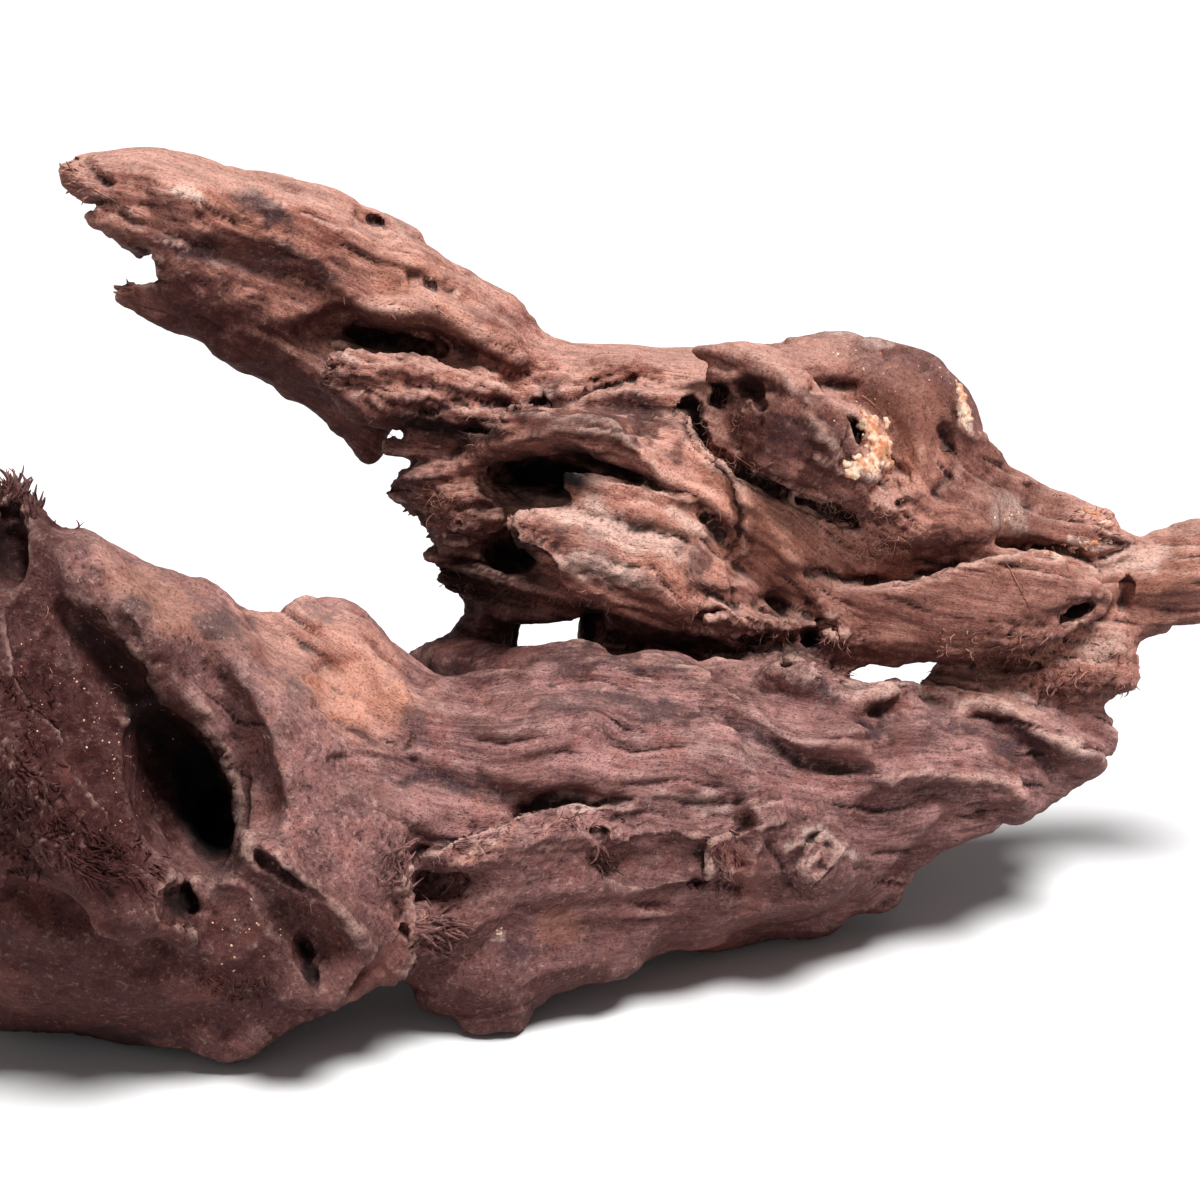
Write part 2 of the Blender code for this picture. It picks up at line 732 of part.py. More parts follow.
def cut_flat(wood):
    """Cuts the feet flat where they stand."""
    bm = bmesh.new()
    size = Matrix.Diagonal((900, 900, 100, 1))
    bmesh.ops.create_cube(bm, size=1, matrix=Matrix.Translation((0, 0, FLOOR_HEIGHT - 50)) @ size)
    mesh = bpy.data.meshes.new("floor")
    bm.to_mesh(mesh)
    bm.free()
    floor = bpy.data.objects.new("floor", mesh)
    bpy.context.scene.collection.objects.link(floor)
    carved(wood, floor)


def ironwood_colour():
    material = bpy.data.materials.new("ironwood")
    material.use_nodes = True
    shader = material.node_tree.nodes["Principled BSDF"]
    shader.inputs["Base Color"].default_value = IRONWOOD
    shader.inputs["Roughness"].default_value = 0.8
    return material


def centred(obj):
    """Puts the middle of the underside at the origin."""
    corners = np.array([v.co for v in obj.data.vertices])
    low, high = corners.min(axis=0), corners.max(axis=0)
    move = Vector((-(low[0] + high[0]) / 2, -(low[1] + high[1]) / 2, -low[2]))
    obj.data.transform(Matrix.Translation(move))
    print("moved by", *(round(v, 5) for v in move), "size", *(high - low).round(4))


def main():
    for obj in list(bpy.data.objects):
        bpy.data.objects.remove(obj)
    solids = [add_limb(n, s) for n, s in LIMBS.items()]
    solids += [add_splinter(*s) for s in SPLINTERS]
    solids += [add_ball("swelling", *s) for s in SWELLINGS]
    wood = joined("ironwood_piece", solids)
    remeshed(wood, FUSE_SIZE)
    cutters = [add_ball("hollow", *s) for s in HOLLOWS]
    cutters.append(add_limb("crease", CREASE))
    cutter = joined("cutter", cutters)
    remeshed(cutter, FUSE_SIZE)
    roughened(cutter, 4, 16)
    remeshed(cutter, FUSE_SIZE)
    carved(wood, cutter)
    remeshed(wood, CARVE_SIZE)
    only_the_largest(wood)
    smoothed(wood, 0.5, 8)
    draw_strokes(wood)
    raise_grain(wood)
    remeshed(wood, CARVE_SIZE)
    only_the_largest(wood)
    smoothed(wood, 0.5, 2)
    thinned(wood, TRIANGLES)
    cut_flat(wood)
    wood.data.transform(Matrix.Scale(MM, 4))
    centred(wood)
    wood.data.materials.append(ironwood_colour())
    wood.data.shade_smooth()
    print(len(wood.data.polygons), "faces")


main()
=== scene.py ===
import math

import bpy
import numpy as np
from mathutils import Matrix, Vector, noise
from mathutils.bvhtree import BVHTree


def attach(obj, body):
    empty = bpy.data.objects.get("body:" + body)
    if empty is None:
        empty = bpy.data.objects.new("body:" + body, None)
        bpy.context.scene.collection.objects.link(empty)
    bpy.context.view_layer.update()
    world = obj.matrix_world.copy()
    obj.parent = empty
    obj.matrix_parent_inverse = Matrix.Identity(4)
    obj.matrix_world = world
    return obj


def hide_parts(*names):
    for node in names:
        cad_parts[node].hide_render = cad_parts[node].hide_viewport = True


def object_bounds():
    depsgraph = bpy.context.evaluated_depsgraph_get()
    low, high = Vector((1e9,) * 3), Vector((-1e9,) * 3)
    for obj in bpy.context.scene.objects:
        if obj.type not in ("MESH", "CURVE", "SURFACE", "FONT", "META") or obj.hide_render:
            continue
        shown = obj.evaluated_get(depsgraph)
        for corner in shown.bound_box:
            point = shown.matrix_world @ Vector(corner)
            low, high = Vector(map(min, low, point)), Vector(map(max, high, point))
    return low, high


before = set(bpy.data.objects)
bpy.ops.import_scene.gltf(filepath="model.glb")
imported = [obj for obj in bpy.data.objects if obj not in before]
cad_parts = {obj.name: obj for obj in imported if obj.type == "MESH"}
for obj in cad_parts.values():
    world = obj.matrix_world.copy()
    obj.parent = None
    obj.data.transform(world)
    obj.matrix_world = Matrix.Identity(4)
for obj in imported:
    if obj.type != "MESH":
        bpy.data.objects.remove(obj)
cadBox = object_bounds()

# Places on the skin are read off the picture, in its 1200 pixels: 3 pixels are 1 mm at the wood's middle.
picture = {
    "middle": 600,  # pixels, both ways
    "pixelsPerMm": 3.0,
    "distance": 833.0,  # mm from the eye to the target
    "tilt": math.radians(18),
    "target": (-3.54, -8.23, 134.5),  # mm
    "lens": 75,
}
mm = 0.001

# The wood's skin
wood = {
    "fuseSize": 1.1,  # mm, the first even skin
    "skinSize": 1.18,  # mm, the finished skin
    "grainRelief": 0.4,  # mm
    "fluteRelief": 0.7,
    "gnarlRelief": 0.8,
    "chipRelief": 0.35,
    "shingleRelief": 0.8,
    "shingleWidth": 3.4,
    "crackDepth": 1.4,
    "crackSpacing": 5.2,
    "crackWidth": 0.85,
    "fluteSize": 6.0,
    "grainSize": 2.4,
    "gnarlSize": 13,
    "chipSize": 5.5,
    "pockSize": 5,
    "edgeBand": 7.0,  # mm, how far from the solid's box the skin is eased back
    "wearAndPaintedLightRounds": (4, 40),  # smoothing rounds, a fine and a broad scale
    "wearAndPaintedLightScale": (0.25, 1.5),
    "cuts": (-154.56, -86.04, -34.96, 16.5, 84.5),  # mm across, where the skin is cut into slices
    "seed": 7,
}


def log(text):
    print("ironwood:", text, flush=True)


def copyOf(obj):
    twin = obj.copy()
    twin.data = obj.data.copy()
    bpy.context.scene.collection.objects.link(twin)
    return twin


def deselectAll():
    bpy.ops.object.select_all(action="DESELECT")


def makeActive(obj):
    deselectAll()
    obj.select_set(True)
    bpy.context.view_layer.objects.active = obj


def finishWith(obj, kind, **settings):
    makeActive(obj)
    modifier = obj.modifiers.new(kind.lower(), kind)
    for name, value in settings.items():
        setattr(modifier, name, value)
    bpy.ops.object.modifier_apply(modifier=modifier.name)


def joinTogether(objects, name):
    deselectAll()
    for obj in objects:
        obj.select_set(True)
    bpy.context.view_layer.objects.active = objects[0]
    if len(objects) > 1:
        bpy.ops.object.join()
    objects[0].name = name
    return objects[0]


def evenSkin(obj, size):
    finishWith(obj, "REMESH", mode="VOXEL", voxel_size=size * mm)


# The picture: from a point in space to its pixel, and back
tiltSin = math.sin(picture["tilt"])
tiltCos = math.cos(picture["tilt"])
eye = np.array(picture["target"]) + picture["distance"] * np.array([0, -tiltCos, tiltSin])


def onPicture(points):
    x, y, z = (points - np.array(picture["target"])).T
    depth = picture["distance"] + y * tiltCos - z * tiltSin
    scale = picture["pixelsPerMm"] * picture["distance"] / depth
    flat = np.column_stack([x * scale, -(y * tiltSin + z * tiltCos) * scale])
    return flat + picture["middle"]


def inSpace(px, py, away):
    # away is how far back of the target the point lies, in mm
    across = (px - picture["middle"]) / picture["pixelsPerMm"]
    up = (picture["middle"] - py) / picture["pixelsPerMm"]
    z = 0.0
    for step in range(12):
        depth = picture["distance"] + away * tiltCos - z * tiltSin
        z = (up * depth / picture["distance"] - away * tiltSin) / tiltCos
    return Vector((across * depth / picture["distance"], away, z)) + Vector(picture["target"])


def towards(px, py):
    # the direction of the line of sight through a pixel
    across = (px - picture["middle"]) / picture["pixelsPerMm"]
    up = (picture["middle"] - py) / picture["pixelsPerMm"]
    ahead = Vector((0, tiltCos, -tiltSin)) * picture["distance"]
    return (ahead + Vector((across, 0, 0)) + Vector((0, tiltSin, tiltCos)) * up).normalized()


def skinOf(obj):
    mesh = obj.data
    points = np.empty(len(mesh.vertices) * 3, np.float32)
    normals = np.empty(len(mesh.vertices) * 3, np.float32)
    mesh.vertices.foreach_get("co", points)
    mesh.vertices.foreach_get("normal", normals)
    return points.reshape(-1, 3).astype(float) / mm, normals.reshape(-1, 3).astype(float)


def reshape(obj, points):
    obj.data.vertices.foreach_set("co", (points * mm).astype(np.float32).ravel())
    obj.data.update()


def treeOf(obj):
    graph = bpy.context.evaluated_depsgraph_get()
    return BVHTree.FromObject(obj, graph)


def skinAt(tree, px, py):
    # where the line of sight first meets the wood, in mm, and the skin's normal there
    hit, normal, face, far = tree.ray_cast(Vector(eye) * mm, towards(px, py))
    if hit is None:
        return None, None
    return hit / mm, normal


def smoothStep(low, high, value):
    t = np.clip((value - low) / (high - low), 0, 1)
    return t * t * (3 - 2 * t)


def fractal(points, size, octaves=3, shift=0.0):
    scaled = (points / size + shift).tolist()
    return np.array([noise.fractal(p, 0.75, 2.1, octaves) for p in scaled])


def plain(points, size, shift=0.0):
    scaled = (points / size + shift).tolist()
    return np.array([noise.noise(p) for p in scaled])


def drawn(text):
    # places drawn on the picture: commas within one place, spaces between them
    return [tuple(float(number) for number in place.split(",")) for place in text.split()]


# Which part of the wood a point belongs to
parts = {
    "parting": (
        "-200,440 0,450 60,500 150,525 250,560 330,590 410,618 450,626 520,632 580,636 640,648 690,652 760,655 "
        "800,655 850,672 900,676 950,688 1000,698 1060,708 1140,715 1400,700"
    ),
    "rootHeight": 104.0,
    "rootBack": (54.0, 0.25, 30.0),  # mm: how far back the roots start, its slope across, its least
}


def partOf(points):
    # 0 is the trunk, 1 the limb above it, 2 the roots behind
    flat = onPicture(points)
    line = np.array(drawn(parts["parting"]))
    isLimb = flat[:, 1] < np.interp(flat[:, 0], line[:, 0], line[:, 1])
    start, slope, least = parts["rootBack"]
    isRoot = (points[:, 1] > np.maximum(least, start + slope * points[:, 0])) & (
        points[:, 2] < parts["rootHeight"]
    )
    return np.where(isRoot, 2, np.where(isLimb, 1, 0))


# The grain's way over the skin, drawn on the picture
grainWays = {
    "trunk": [
        "0,500 60,530 161,568 228,600 268,622",
        "0,545 62,568 134,641 187,686 214,721 236,775 241,815 225,870",
        "0,600 60,650 120,720 170,800 200,860",
        "0,700 40,760 90,840 150,880",
        "0,800 60,860 140,905 200,920",
        "0,900 80,940 160,990 230,1040",
        "0,980 100,1010 190,1045",
        "100,560 170,610 240,670 290,700 330,740 400,765",
        "281,627 348,681 402,735 457,758",
        "270,612 300,602 335,602 365,620 400,660 450,700",
        "260,750 295,761 348,756 420,761 482,778 559,783 610,800",
        "254,788 300,800 350,797 420,790 500,815 560,806",
        "250,800 300,850 350,920 380,980",
        "230,870 260,930 290,1000 300,1050",
        "320,830 380,870 420,930 440,960",
        "150,890 220,900 300,930 330,960",
        "523,643 579,644 635,648 661,658 699,662 737,646 790,650",
        "477,697 523,672 584,672 635,680 686,694 737,716 780,744 850,770",
        "431,722 482,720 533,704 584,702 640,716 712,724 763,753 850,775",
        "411,735 457,732 508,742 559,726 610,750 661,742 712,744 763,768",
        "405,750 457,758 495,768 533,758 571,758 610,775 661,773 712,786",
        "560,790 640,800 690,806 737,800 800,800",
        "400,870 450,850 500,845 560,850 600,840",
        "400,985 450,960 520,930 600,915 690,905 760,905",
        "430,1000 500,1000 560,970 640,950 700,940",
        "450,900 520,880 600,870 700,862 760,860",
        "700,660 760,700 800,735 860,765 920,770 1000,780",
        "800,690 850,695 900,690 960,693 1010,712 1060,740 1100,765",
        "830,720 880,715 940,720 1000,745 1060,770",
        "880,780 930,772 1000,780 1040,795",
        "820,800 870,830 930,815 1000,805 1060,800",
        "760,900 830,890 880,860 940,830 1020,810",
        "1000,690 1060,695 1100,715 1120,740",
    ],
    "limb": [
        "70,165 130,158 200,180 300,212 380,245 440,285 490,320 540,350",
        "80,150 140,140 200,160 280,175 350,200 400,230 450,262 545,335",
        "90,205 160,218 240,240 310,268 370,300 430,310 490,345 530,372",
        "160,250 220,280 280,310 340,340 400,350 470,380",
        "120,295 180,325 240,365 300,400 350,430 380,455",
        "330,360 400,375 450,385 480,395",
        "340,400 400,410 470,410 510,400",
        "545,345 600,360 680,356 740,350 790,340",
        "530,372 580,372 640,366 700,358",
        "400,500 450,470 500,440 545,400 600,385 650,378 700,385",
        "500,435 560,415 620,420 680,440 730,490 790,540 830,580",
        "545,440 590,430 640,455 672,487 720,520 770,570 810,610",
        "566,480 620,490 680,520 730,560 780,600 830,640",
        "512,517 560,520 620,545 680,575 740,610 800,640",
        "560,570 620,585 690,605 760,630 830,650",
        "400,500 450,520 510,530 560,560",
        "430,560 480,570 540,590 580,600",
        "725,350 780,375 815,425 860,485",
        "700,390 730,420 780,470 830,500",
        "790,335 860,335 920,360 960,400 985,450 1040,500 1110,530",
        "830,370 880,390 920,440 935,490 960,530",
        "900,350 940,400 950,450 970,500 1040,530 1100,545",
        "820,575 870,580 940,565 1020,555 1100,575",
        "800,600 870,615 950,612 1040,600 1100,590",
        "790,640 860,650 950,645 1030,630 1090,605",
        "1090,545 1140,540 1200,522",
        "1100,580 1150,575 1200,570",
        "1100,610 1150,615 1200,605",
        "940,660 1000,650 1060,655 1130,665",
        "960,690 1040,685 1120,690",
    ],
    "roots": [
        "440,560 450,640 430,720",
        "520,560 520,700",
        "600,560 610,700",
        "700,560 740,700 760,800",
        "800,560 840,700",
    ],
    "cell": 6.0,  # pixels
    "reach": 26.0,  # pixels, how softly one line gives way to the next
    "low": (-160, 20),
    "high": (1380, 1180),
}


def curveThrough(path, spacing):
    # evenly spaced points on a smooth curve through the path's points
    path = np.array(path, float)
    count = len(path)
    found = []
    for i in range(count - 1):
        p = [path[max(0, min(count - 1, i + k))] for k in (-1, 0, 1, 2)]
        steps = max(1, int(np.linalg.norm(p[2] - p[1]) / spacing))
        for t in np.arange(steps) / steps:
            found.append(
                0.5
                * (
                    2 * p[1]
                    + (p[2] - p[0]) * t
                    + (2 * p[0] - 5 * p[1] + 4 * p[2] - p[3]) * t * t
                    + (3 * p[1] - p[0] - 3 * p[2] + p[3]) * t ** 3
                )
            )
    return np.array(found + [path[-1]])


def grainField(ways):
    # a height over the picture whose level lines follow the drawn ways, a pixel apart
    low, high, cell = np.array(grainWays["low"]), np.array(grainWays["high"]), grainWays["cell"]
    across = np.arange(low[0], high[0], cell)
    down = np.arange(low[1], high[1], cell)
    gridX, gridY = np.meshgrid(across, down)
    sumX = np.zeros(gridX.shape)
    sumY = np.zeros(gridX.shape)
    for way in ways:
        line = curveThrough(drawn(way), 10)
        step = np.diff(line, axis=0)
        step /= np.linalg.norm(step, axis=1, keepdims=True)
        for (x, y), (dx, dy) in zip((line[:-1] + line[1:]) / 2, step):
            weight = 1 / ((gridX - x) ** 2 + (gridY - y) ** 2 + grainWays["reach"] ** 2) ** 2
            sumX += weight * dx
            sumY += weight * dy
    long = np.hypot(sumX, sumY) + 1e-12
    rightX, rightY = -sumY / long, sumX / long
    # the height whose slope is nearest to the direction across the grain, by a mirrored Fourier solve
    wideX = np.hstack([rightX, -rightX[:, ::-1]])
    wideY = np.hstack([rightY, rightY[:, ::-1]])
    wideX = np.vstack([wideX, wideX[::-1]])
    wideY = np.vstack([wideY, -wideY[::-1]])
    spread = (wideX - np.roll(wideX, 1, axis=1) + wideY - np.roll(wideY, 1, axis=0)) / cell
    rows, columns = spread.shape
    waveY = 2 * np.cos(2 * np.pi * np.arange(rows) / rows) - 2
    waveX = 2 * np.cos(2 * np.pi * np.arange(columns) / columns) - 2
    bottom = (waveY[:, None] + waveX[None, :]) / cell ** 2
    bottom[0, 0] = 1
    solved = np.fft.fft2(spread) / bottom
    solved[0, 0] = 0
    return np.real(np.fft.ifft2(solved))[: gridX.shape[0], : gridX.shape[1]]


def readField(field, flat):
    place = (flat - np.array(grainWays["low"])) / grainWays["cell"]
    rows, columns = field.shape
    x = np.clip(place[:, 0], 0, columns - 1.001)
    y = np.clip(place[:, 1], 0, rows - 1.001)
    i, j = y.astype(int), x.astype(int)
    f, g = y - i, x - j
    return (
        field[i, j] * (1 - f) * (1 - g)
        + field[i + 1, j] * f * (1 - g)
        + field[i, j + 1] * (1 - f) * g
        + field[i + 1, j + 1] * f * g
    )


# Knots that the grain bends round: pixel, radius in pixels, how many mm of grain they push aside
knots = (
    "262,731,16,5 325,612,26,-5 790,662,22,6 770,812,22,5 812,857,26,6 195,640,30,4 235,600,20,-3 140,605,20,3 "
    "500,932,22,4 545,925,18,-3 964,522,18,5 832,625,14,4 595,720,26,3 1005,750,24,-3 885,895,14,3 192,192,20,3 "
    "250,205,26,-3 655,560,22,3 720,470,20,3 1080,555,16,3"
)
fields = {name: grainField(grainWays[name]) for name in ("trunk", "limb", "roots")}
log("grain drawn")


def grainAt(points):
    # along the grain and the two ways across it, in mm; along is shortened so that one noise makes streaks
    flat = onPicture(points)
    part = partOf(points)
    height = np.select(
        [part == 0, part == 1], [readField(fields["trunk"], flat), readField(fields["limb"], flat)],
        readField(fields["roots"], flat),
    )
    height = height / picture["pixelsPerMm"]
    for px, py, size, push in drawn(knots):
        far = np.hypot(flat[:, 0] - px, flat[:, 1] - py) / size
        height += push * np.exp(-far * far) * (points[:, 1] < 40)
    height += 1.3 * plain(points, 17) + 0.5 * plain(points, 6, 9)
    along = (points[:, 0] - points[:, 2]) / 12
    return np.column_stack([along, height, points[:, 1] / 3.2])


# Drawn strokes: width in mm, height in mm (below nothing is a groove) and the way on the picture
strokes = {
    "trunk": [
        (7, 2.2, "20,545 60,555 78,590 112,628 150,668 190,702 214,740 238,780 242,840 228,872"),
        (4, -2.0, "0,520 20,505 50,515 78,530"),
        (3, -1.4, "325,765 350,755 420,760"),
        (8, -2.2, "300,590 330,615 300,650"),
        (10, 2.4, "470,690 520,660 590,652 660,664 720,700 770,740"),
        (7, -1.8, "560,690 620,692 690,712 740,742 790,790"),
        (7, -1.8, "380,765 440,778 520,800 560,808"),
        (5, 1.4, "600,780 660,776 720,790 760,780"),
        (8, 2.2, "700,660 740,652 790,655 820,680 850,700"),
        (5, -2.4, "720,715 760,738 800,757 860,772 890,785"),
        (13, 6.0, "800,850 812,862 822,872"),
        (3.5, 2.2, "782,858 798,834 822,822 842,832 836,858 818,886 806,896"),
        (3, -2.4, "800,858 812,846 824,848 814,868"),
        (8, 4.0, "768,800 772,826"),
        (4, 3.4, "850,697 900,690 960,694 1010,713 1060,742 1090,757"),
        (4, -2.0, "856,716 910,706 965,712 1010,735 1050,758"),
        (3, -1.8, "768,838 782,866 798,900 818,900"),
        (4, 3.0, "870,782 930,774 1000,782 1030,798"),
        (6, -3.0, "868,800 930,796 990,800"),
        (5, -2.4, "640,905 700,892 745,885"),
        (4, 2.0, "745,790 757,830 748,880"),
        (5, -2.0, "735,800 742,830 735,870"),
        (6, -2.4, "245,850 290,880 330,915 345,950"),
        (7, 2.2, "240,850 300,890 350,930 400,975"),
        (3, -1.8, "410,725 400,750 310,702"),
    ],
    "limb": [
        (5, 2.6, "355,300 385,310 430,306 452,320 490,345 530,372"),
        (7, -3.4, "345,330 385,345 430,345 480,362"),
        (4, -2.8, "80,150 92,170 110,190"),
        (3, -1.6, "95,200 140,226 180,236 300,262"),
        (5, 1.8, "180,230 240,232 300,250 345,290"),
        (5, -2.2, "352,214 375,225 400,236"),
        (5, -2.4, "402,280 430,278 460,294"),
        (4, -2.4, "420,410 470,400 515,408 540,398"),
        (3, 1.8, "330,350 380,352 430,352 470,366 515,400"),
        (4, -2.0, "340,385 380,390 430,385"),
        (4, 2.0, "560,395 600,372 630,364 660,372 672,385"),
        (5, -2.4, "545,410 600,402 650,408 700,402"),
        (3, 2.2, "500,442 560,430 620,438 672,486"),
        (4, 1.8, "512,410 560,420 640,425"),
        (3, -2.0, "566,505 600,515 650,530 700,545"),
        (4, -2.4, "690,500 720,530 735,570 742,610"),
        (5, -3.4, "690,400 700,440 745,475 810,500 870,530"),
        (5, 3.0, "725,350 780,375 815,425 855,480"),
        (4, -3.0, "808,388 830,385 858,388"),
        (4, 2.0, "812,402 850,412 880,430 886,455"),
        (4, -3.6, "846,470 850,440 862,420"),
        (3, 2.0, "812,455 840,470 880,480"),
        (5, -1.6, "880,355 915,352 930,372"),
        (4, -2.4, "945,440 950,470 935,500"),
        (3, 1.6, "960,395 964,430 990,440"),
        (4, -2.8, "1030,480 1032,505 1030,510"),
        (2.4, -2.6, "800,570 870,582 905,580 945,566 1000,553 1035,548 1075,556 1102,574"),
        (3, 1.8, "940,572 1000,560 1036,556 1080,566 1104,590"),
        (4, -2.6, "1058,622 1085,606 1110,600"),
        (5, -2.6, "690,590 760,605 830,612"),
        (5, -2.4, "700,625 750,640 800,640"),
        (4, 2.2, "815,600 828,620 845,640"),
    ],
}
# Torn edges: how far the skin stands up on the left of the way, falling off at once on its right
tears = {
    "trunk": [
        (5, 2.6, "640,800 600,806 560,806 530,814 500,830 470,836 436,850 412,862 398,885"),
        (4, 1.8, "760,820 745,830 715,838 705,850 706,882"),
        (4, 2.0, "398,985 415,950 412,900 405,870"),
        (4, 1.6, "862,672 845,680 820,672 800,668"),
        (4, 1.6, "160,925 158,895 185,880"),
    ],
    "limb": [
        (4, 2.4, "560,510 536,512 514,520 516,535 548,556 562,580"),
        (4, 2.2, "700,500 640,486 590,480 567,474 566,488"),
        (3, 2.0, "530,395 548,400 596,388 640,372"),
        (4, 2.4, "700,440 730,478 744,520 735,560"),
        (4, 2.0, "330,348 345,352 336,372 330,385"),
        (3, 1.6, "1110,520 1100,532 1130,548 1095,562"),
    ],
}


def alongWay(flat, way):
    # how far each point lies from the way, on which side, and where along it, 0 to 1
    line = curveThrough(way, 7)
    best = np.full(len(flat), 1e9)
    side = np.zeros(len(flat))
    where = np.zeros(len(flat))
    for k, (start, end) in enumerate(zip(line, line[1:])):
        step = end - start
        f = np.clip(((flat - start) @ step) / (step @ step), 0, 1)
        off = flat - start - f[:, None] * step
        dist = np.hypot(off[:, 0], off[:, 1])
        nearer = dist < best
        best[nearer] = dist[nearer]
        side[nearer] = np.sign(step[0] * off[:, 1] - step[1] * off[:, 0])[nearer]
        where[nearer] = (k + f[nearer]) / (len(line) - 1)
    return best, side, where


def facingEye(points, normals):
    toEye = eye - points
    toEye /= np.linalg.norm(toEye, axis=1, keepdims=True)
    return (normals * toEye).sum(axis=1)


def drawStrokes(obj):
    points, normals = skinOf(obj)
    flat = onPicture(points)
    part = partOf(points)
    wobble = np.column_stack([plain(points, 5), plain(points, 5, 31)]) * 3.0
    facing = smoothStep(0.0, 0.35, facingEye(points, normals))
    lift = np.zeros(len(points))
    for number, name in enumerate(("trunk", "limb")):
        mine = (part == number) & (facing > 0)
        jobs = [(s, False) for s in strokes[name]] + [(s, True) for s in tears[name]]
        for (width, height, way), isTear in jobs:
            way = drawn(way)
            reach = width * picture["pixelsPerMm"]
            low, high = np.min(way, axis=0) - reach, np.max(way, axis=0) + reach
            near = mine & np.all((flat > low) & (flat < high), axis=1)
            dist, side, where = alongWay(flat[near] + wobble[near], way)
            fade = np.clip(1 - dist / reach, 0, 1)
            ends = np.clip(np.minimum(where, 1 - where) * 9 + 0.1, 0, 1)
            shape = fade * fade * (3 - 2 * fade)
            if isTear:
                # the picture's down is the far side of the cross product, so left is below nothing
                shape = fade * np.clip(-side * dist / 1.5, -1, 1)
            lift[near] += height * shape * ends * facing[near]
    reshape(obj, points + normals * lift[:, None])


# Pulls that bring the outline to the picture's: pixel, reach, and how far right and down, in pixels
pulls = (
    "72,168,32,-17,1 150,145,36,0,-8 250,172,50,0,-7 335,200,40,2,-9 400,225,28,0,-4 445,252,26,-4,7 512,305,34,8,-11 "
    "625,345,50,0,-5 733,345,30,0,9 830,340,50,0,-9 930,360,40,4,-6 1000,440,30,-9,7 1060,495,26,2,-7 "
    "1130,520,18,-11,5 1180,528,40,0,-8 1150,635,24,0,10 1105,710,38,13,-2 1070,795,38,-9,-8 960,845,46,-2,-8 "
    "885,895,28,8,16 790,940,30,-1,-6 715,948,32,0,9 630,968,30,2,11 560,1003,36,-5,-9 495,1030,24,0,-8 "
    "425,1000,26,-7,12 375,1000,26,-2,-12 290,1042,36,-5,-10 195,1050,30,0,-6 12,1022,40,0,6 12,500,24,0,-12 "
    "62,520,20,-3,11 205,590,46,5,-10 266,612,26,3,9 330,604,34,0,-4 408,520,34,15,-6 440,572,12,-9,0 "
    "452,608,26,17,0 548,640,30,0,-7 315,425,34,7,-13 232,358,32,-6,9 365,455,14,0,6 92,222,13,-7,2 "
    "120,296,15,-8,4"
)


def pullOutline(obj):
    points, normals = skinOf(obj)
    flat = onPicture(points)
    moves = np.zeros((len(points), 2))
    for px, py, reach, right, down in drawn(pulls):
        far = np.hypot(flat[:, 0] - px, flat[:, 1] - py) / (reach * 1.5)
        moves += np.outer(np.clip(1 - far * far, 0, 1) ** 2, (right, down))
    across = moves[:, :1] / picture["pixelsPerMm"] * np.array([[1.0, 0, 0]])
    down = moves[:, 1:] / picture["pixelsPerMm"] * np.array([[0, -tiltSin, -tiltCos]])
    reshape(obj, points + across + down)


def raiseGrain(obj):
    points, normals = skinOf(obj)
    flat = onPicture(points)
    grain = grainAt(points)
    torn = patchStrength("torn", flat)
    still = patchStrength("calm", flat)
    calm = 1 - 0.75 * still
    flute = fractal(grain, wood["fluteSize"], 2)
    ridge = fractal(grain, wood["grainSize"], 2, 17)
    rough = 1 - 0.6 * still
    streaky = 1 - 0.75 * patchStrength("mottled", flat)
    level = grain[:, 1] / wood["crackSpacing"] + 0.5 * plain(points, 30, 3)
    band = np.round(level)
    crack = np.abs(level - band) * wood["crackSpacing"]
    broken = plain(np.column_stack([grain[:, 0], band * 7.3, grain[:, 2] / 4]), 2.6, 71)
    crackHere = smoothStep(0.1, 0.4, broken) * np.exp(-(crack / wood["crackWidth"]) ** 2)
    shingle = (grain[:, 1] / wood["shingleWidth"] + 0.8 * plain(points, 10, 13)) % 1.0 - 0.5
    gnarl = fractal(points, wood["gnarlSize"], 4, 5)
    chip = 1 - 2 * np.abs(plain(points, wood["chipSize"], 23))
    pocked = np.minimum(fractal(points, wood["pockSize"], 3, 51), 0)
    lift = (wood["fluteRelief"] * flute + wood["grainRelief"] * ridge - wood["crackDepth"] * crackHere) * streaky
    lift += wood["gnarlRelief"] * gnarl * rough + wood["chipRelief"] * chip * (0.4 + torn * 1.5)
    lift += wood["shingleRelief"] * shingle * (0.15 + torn) * streaky + pocked * (1.2 * torn + 0.5 * (1 - streaky))
    reshape(obj, points + normals * (lift * calm)[:, None])


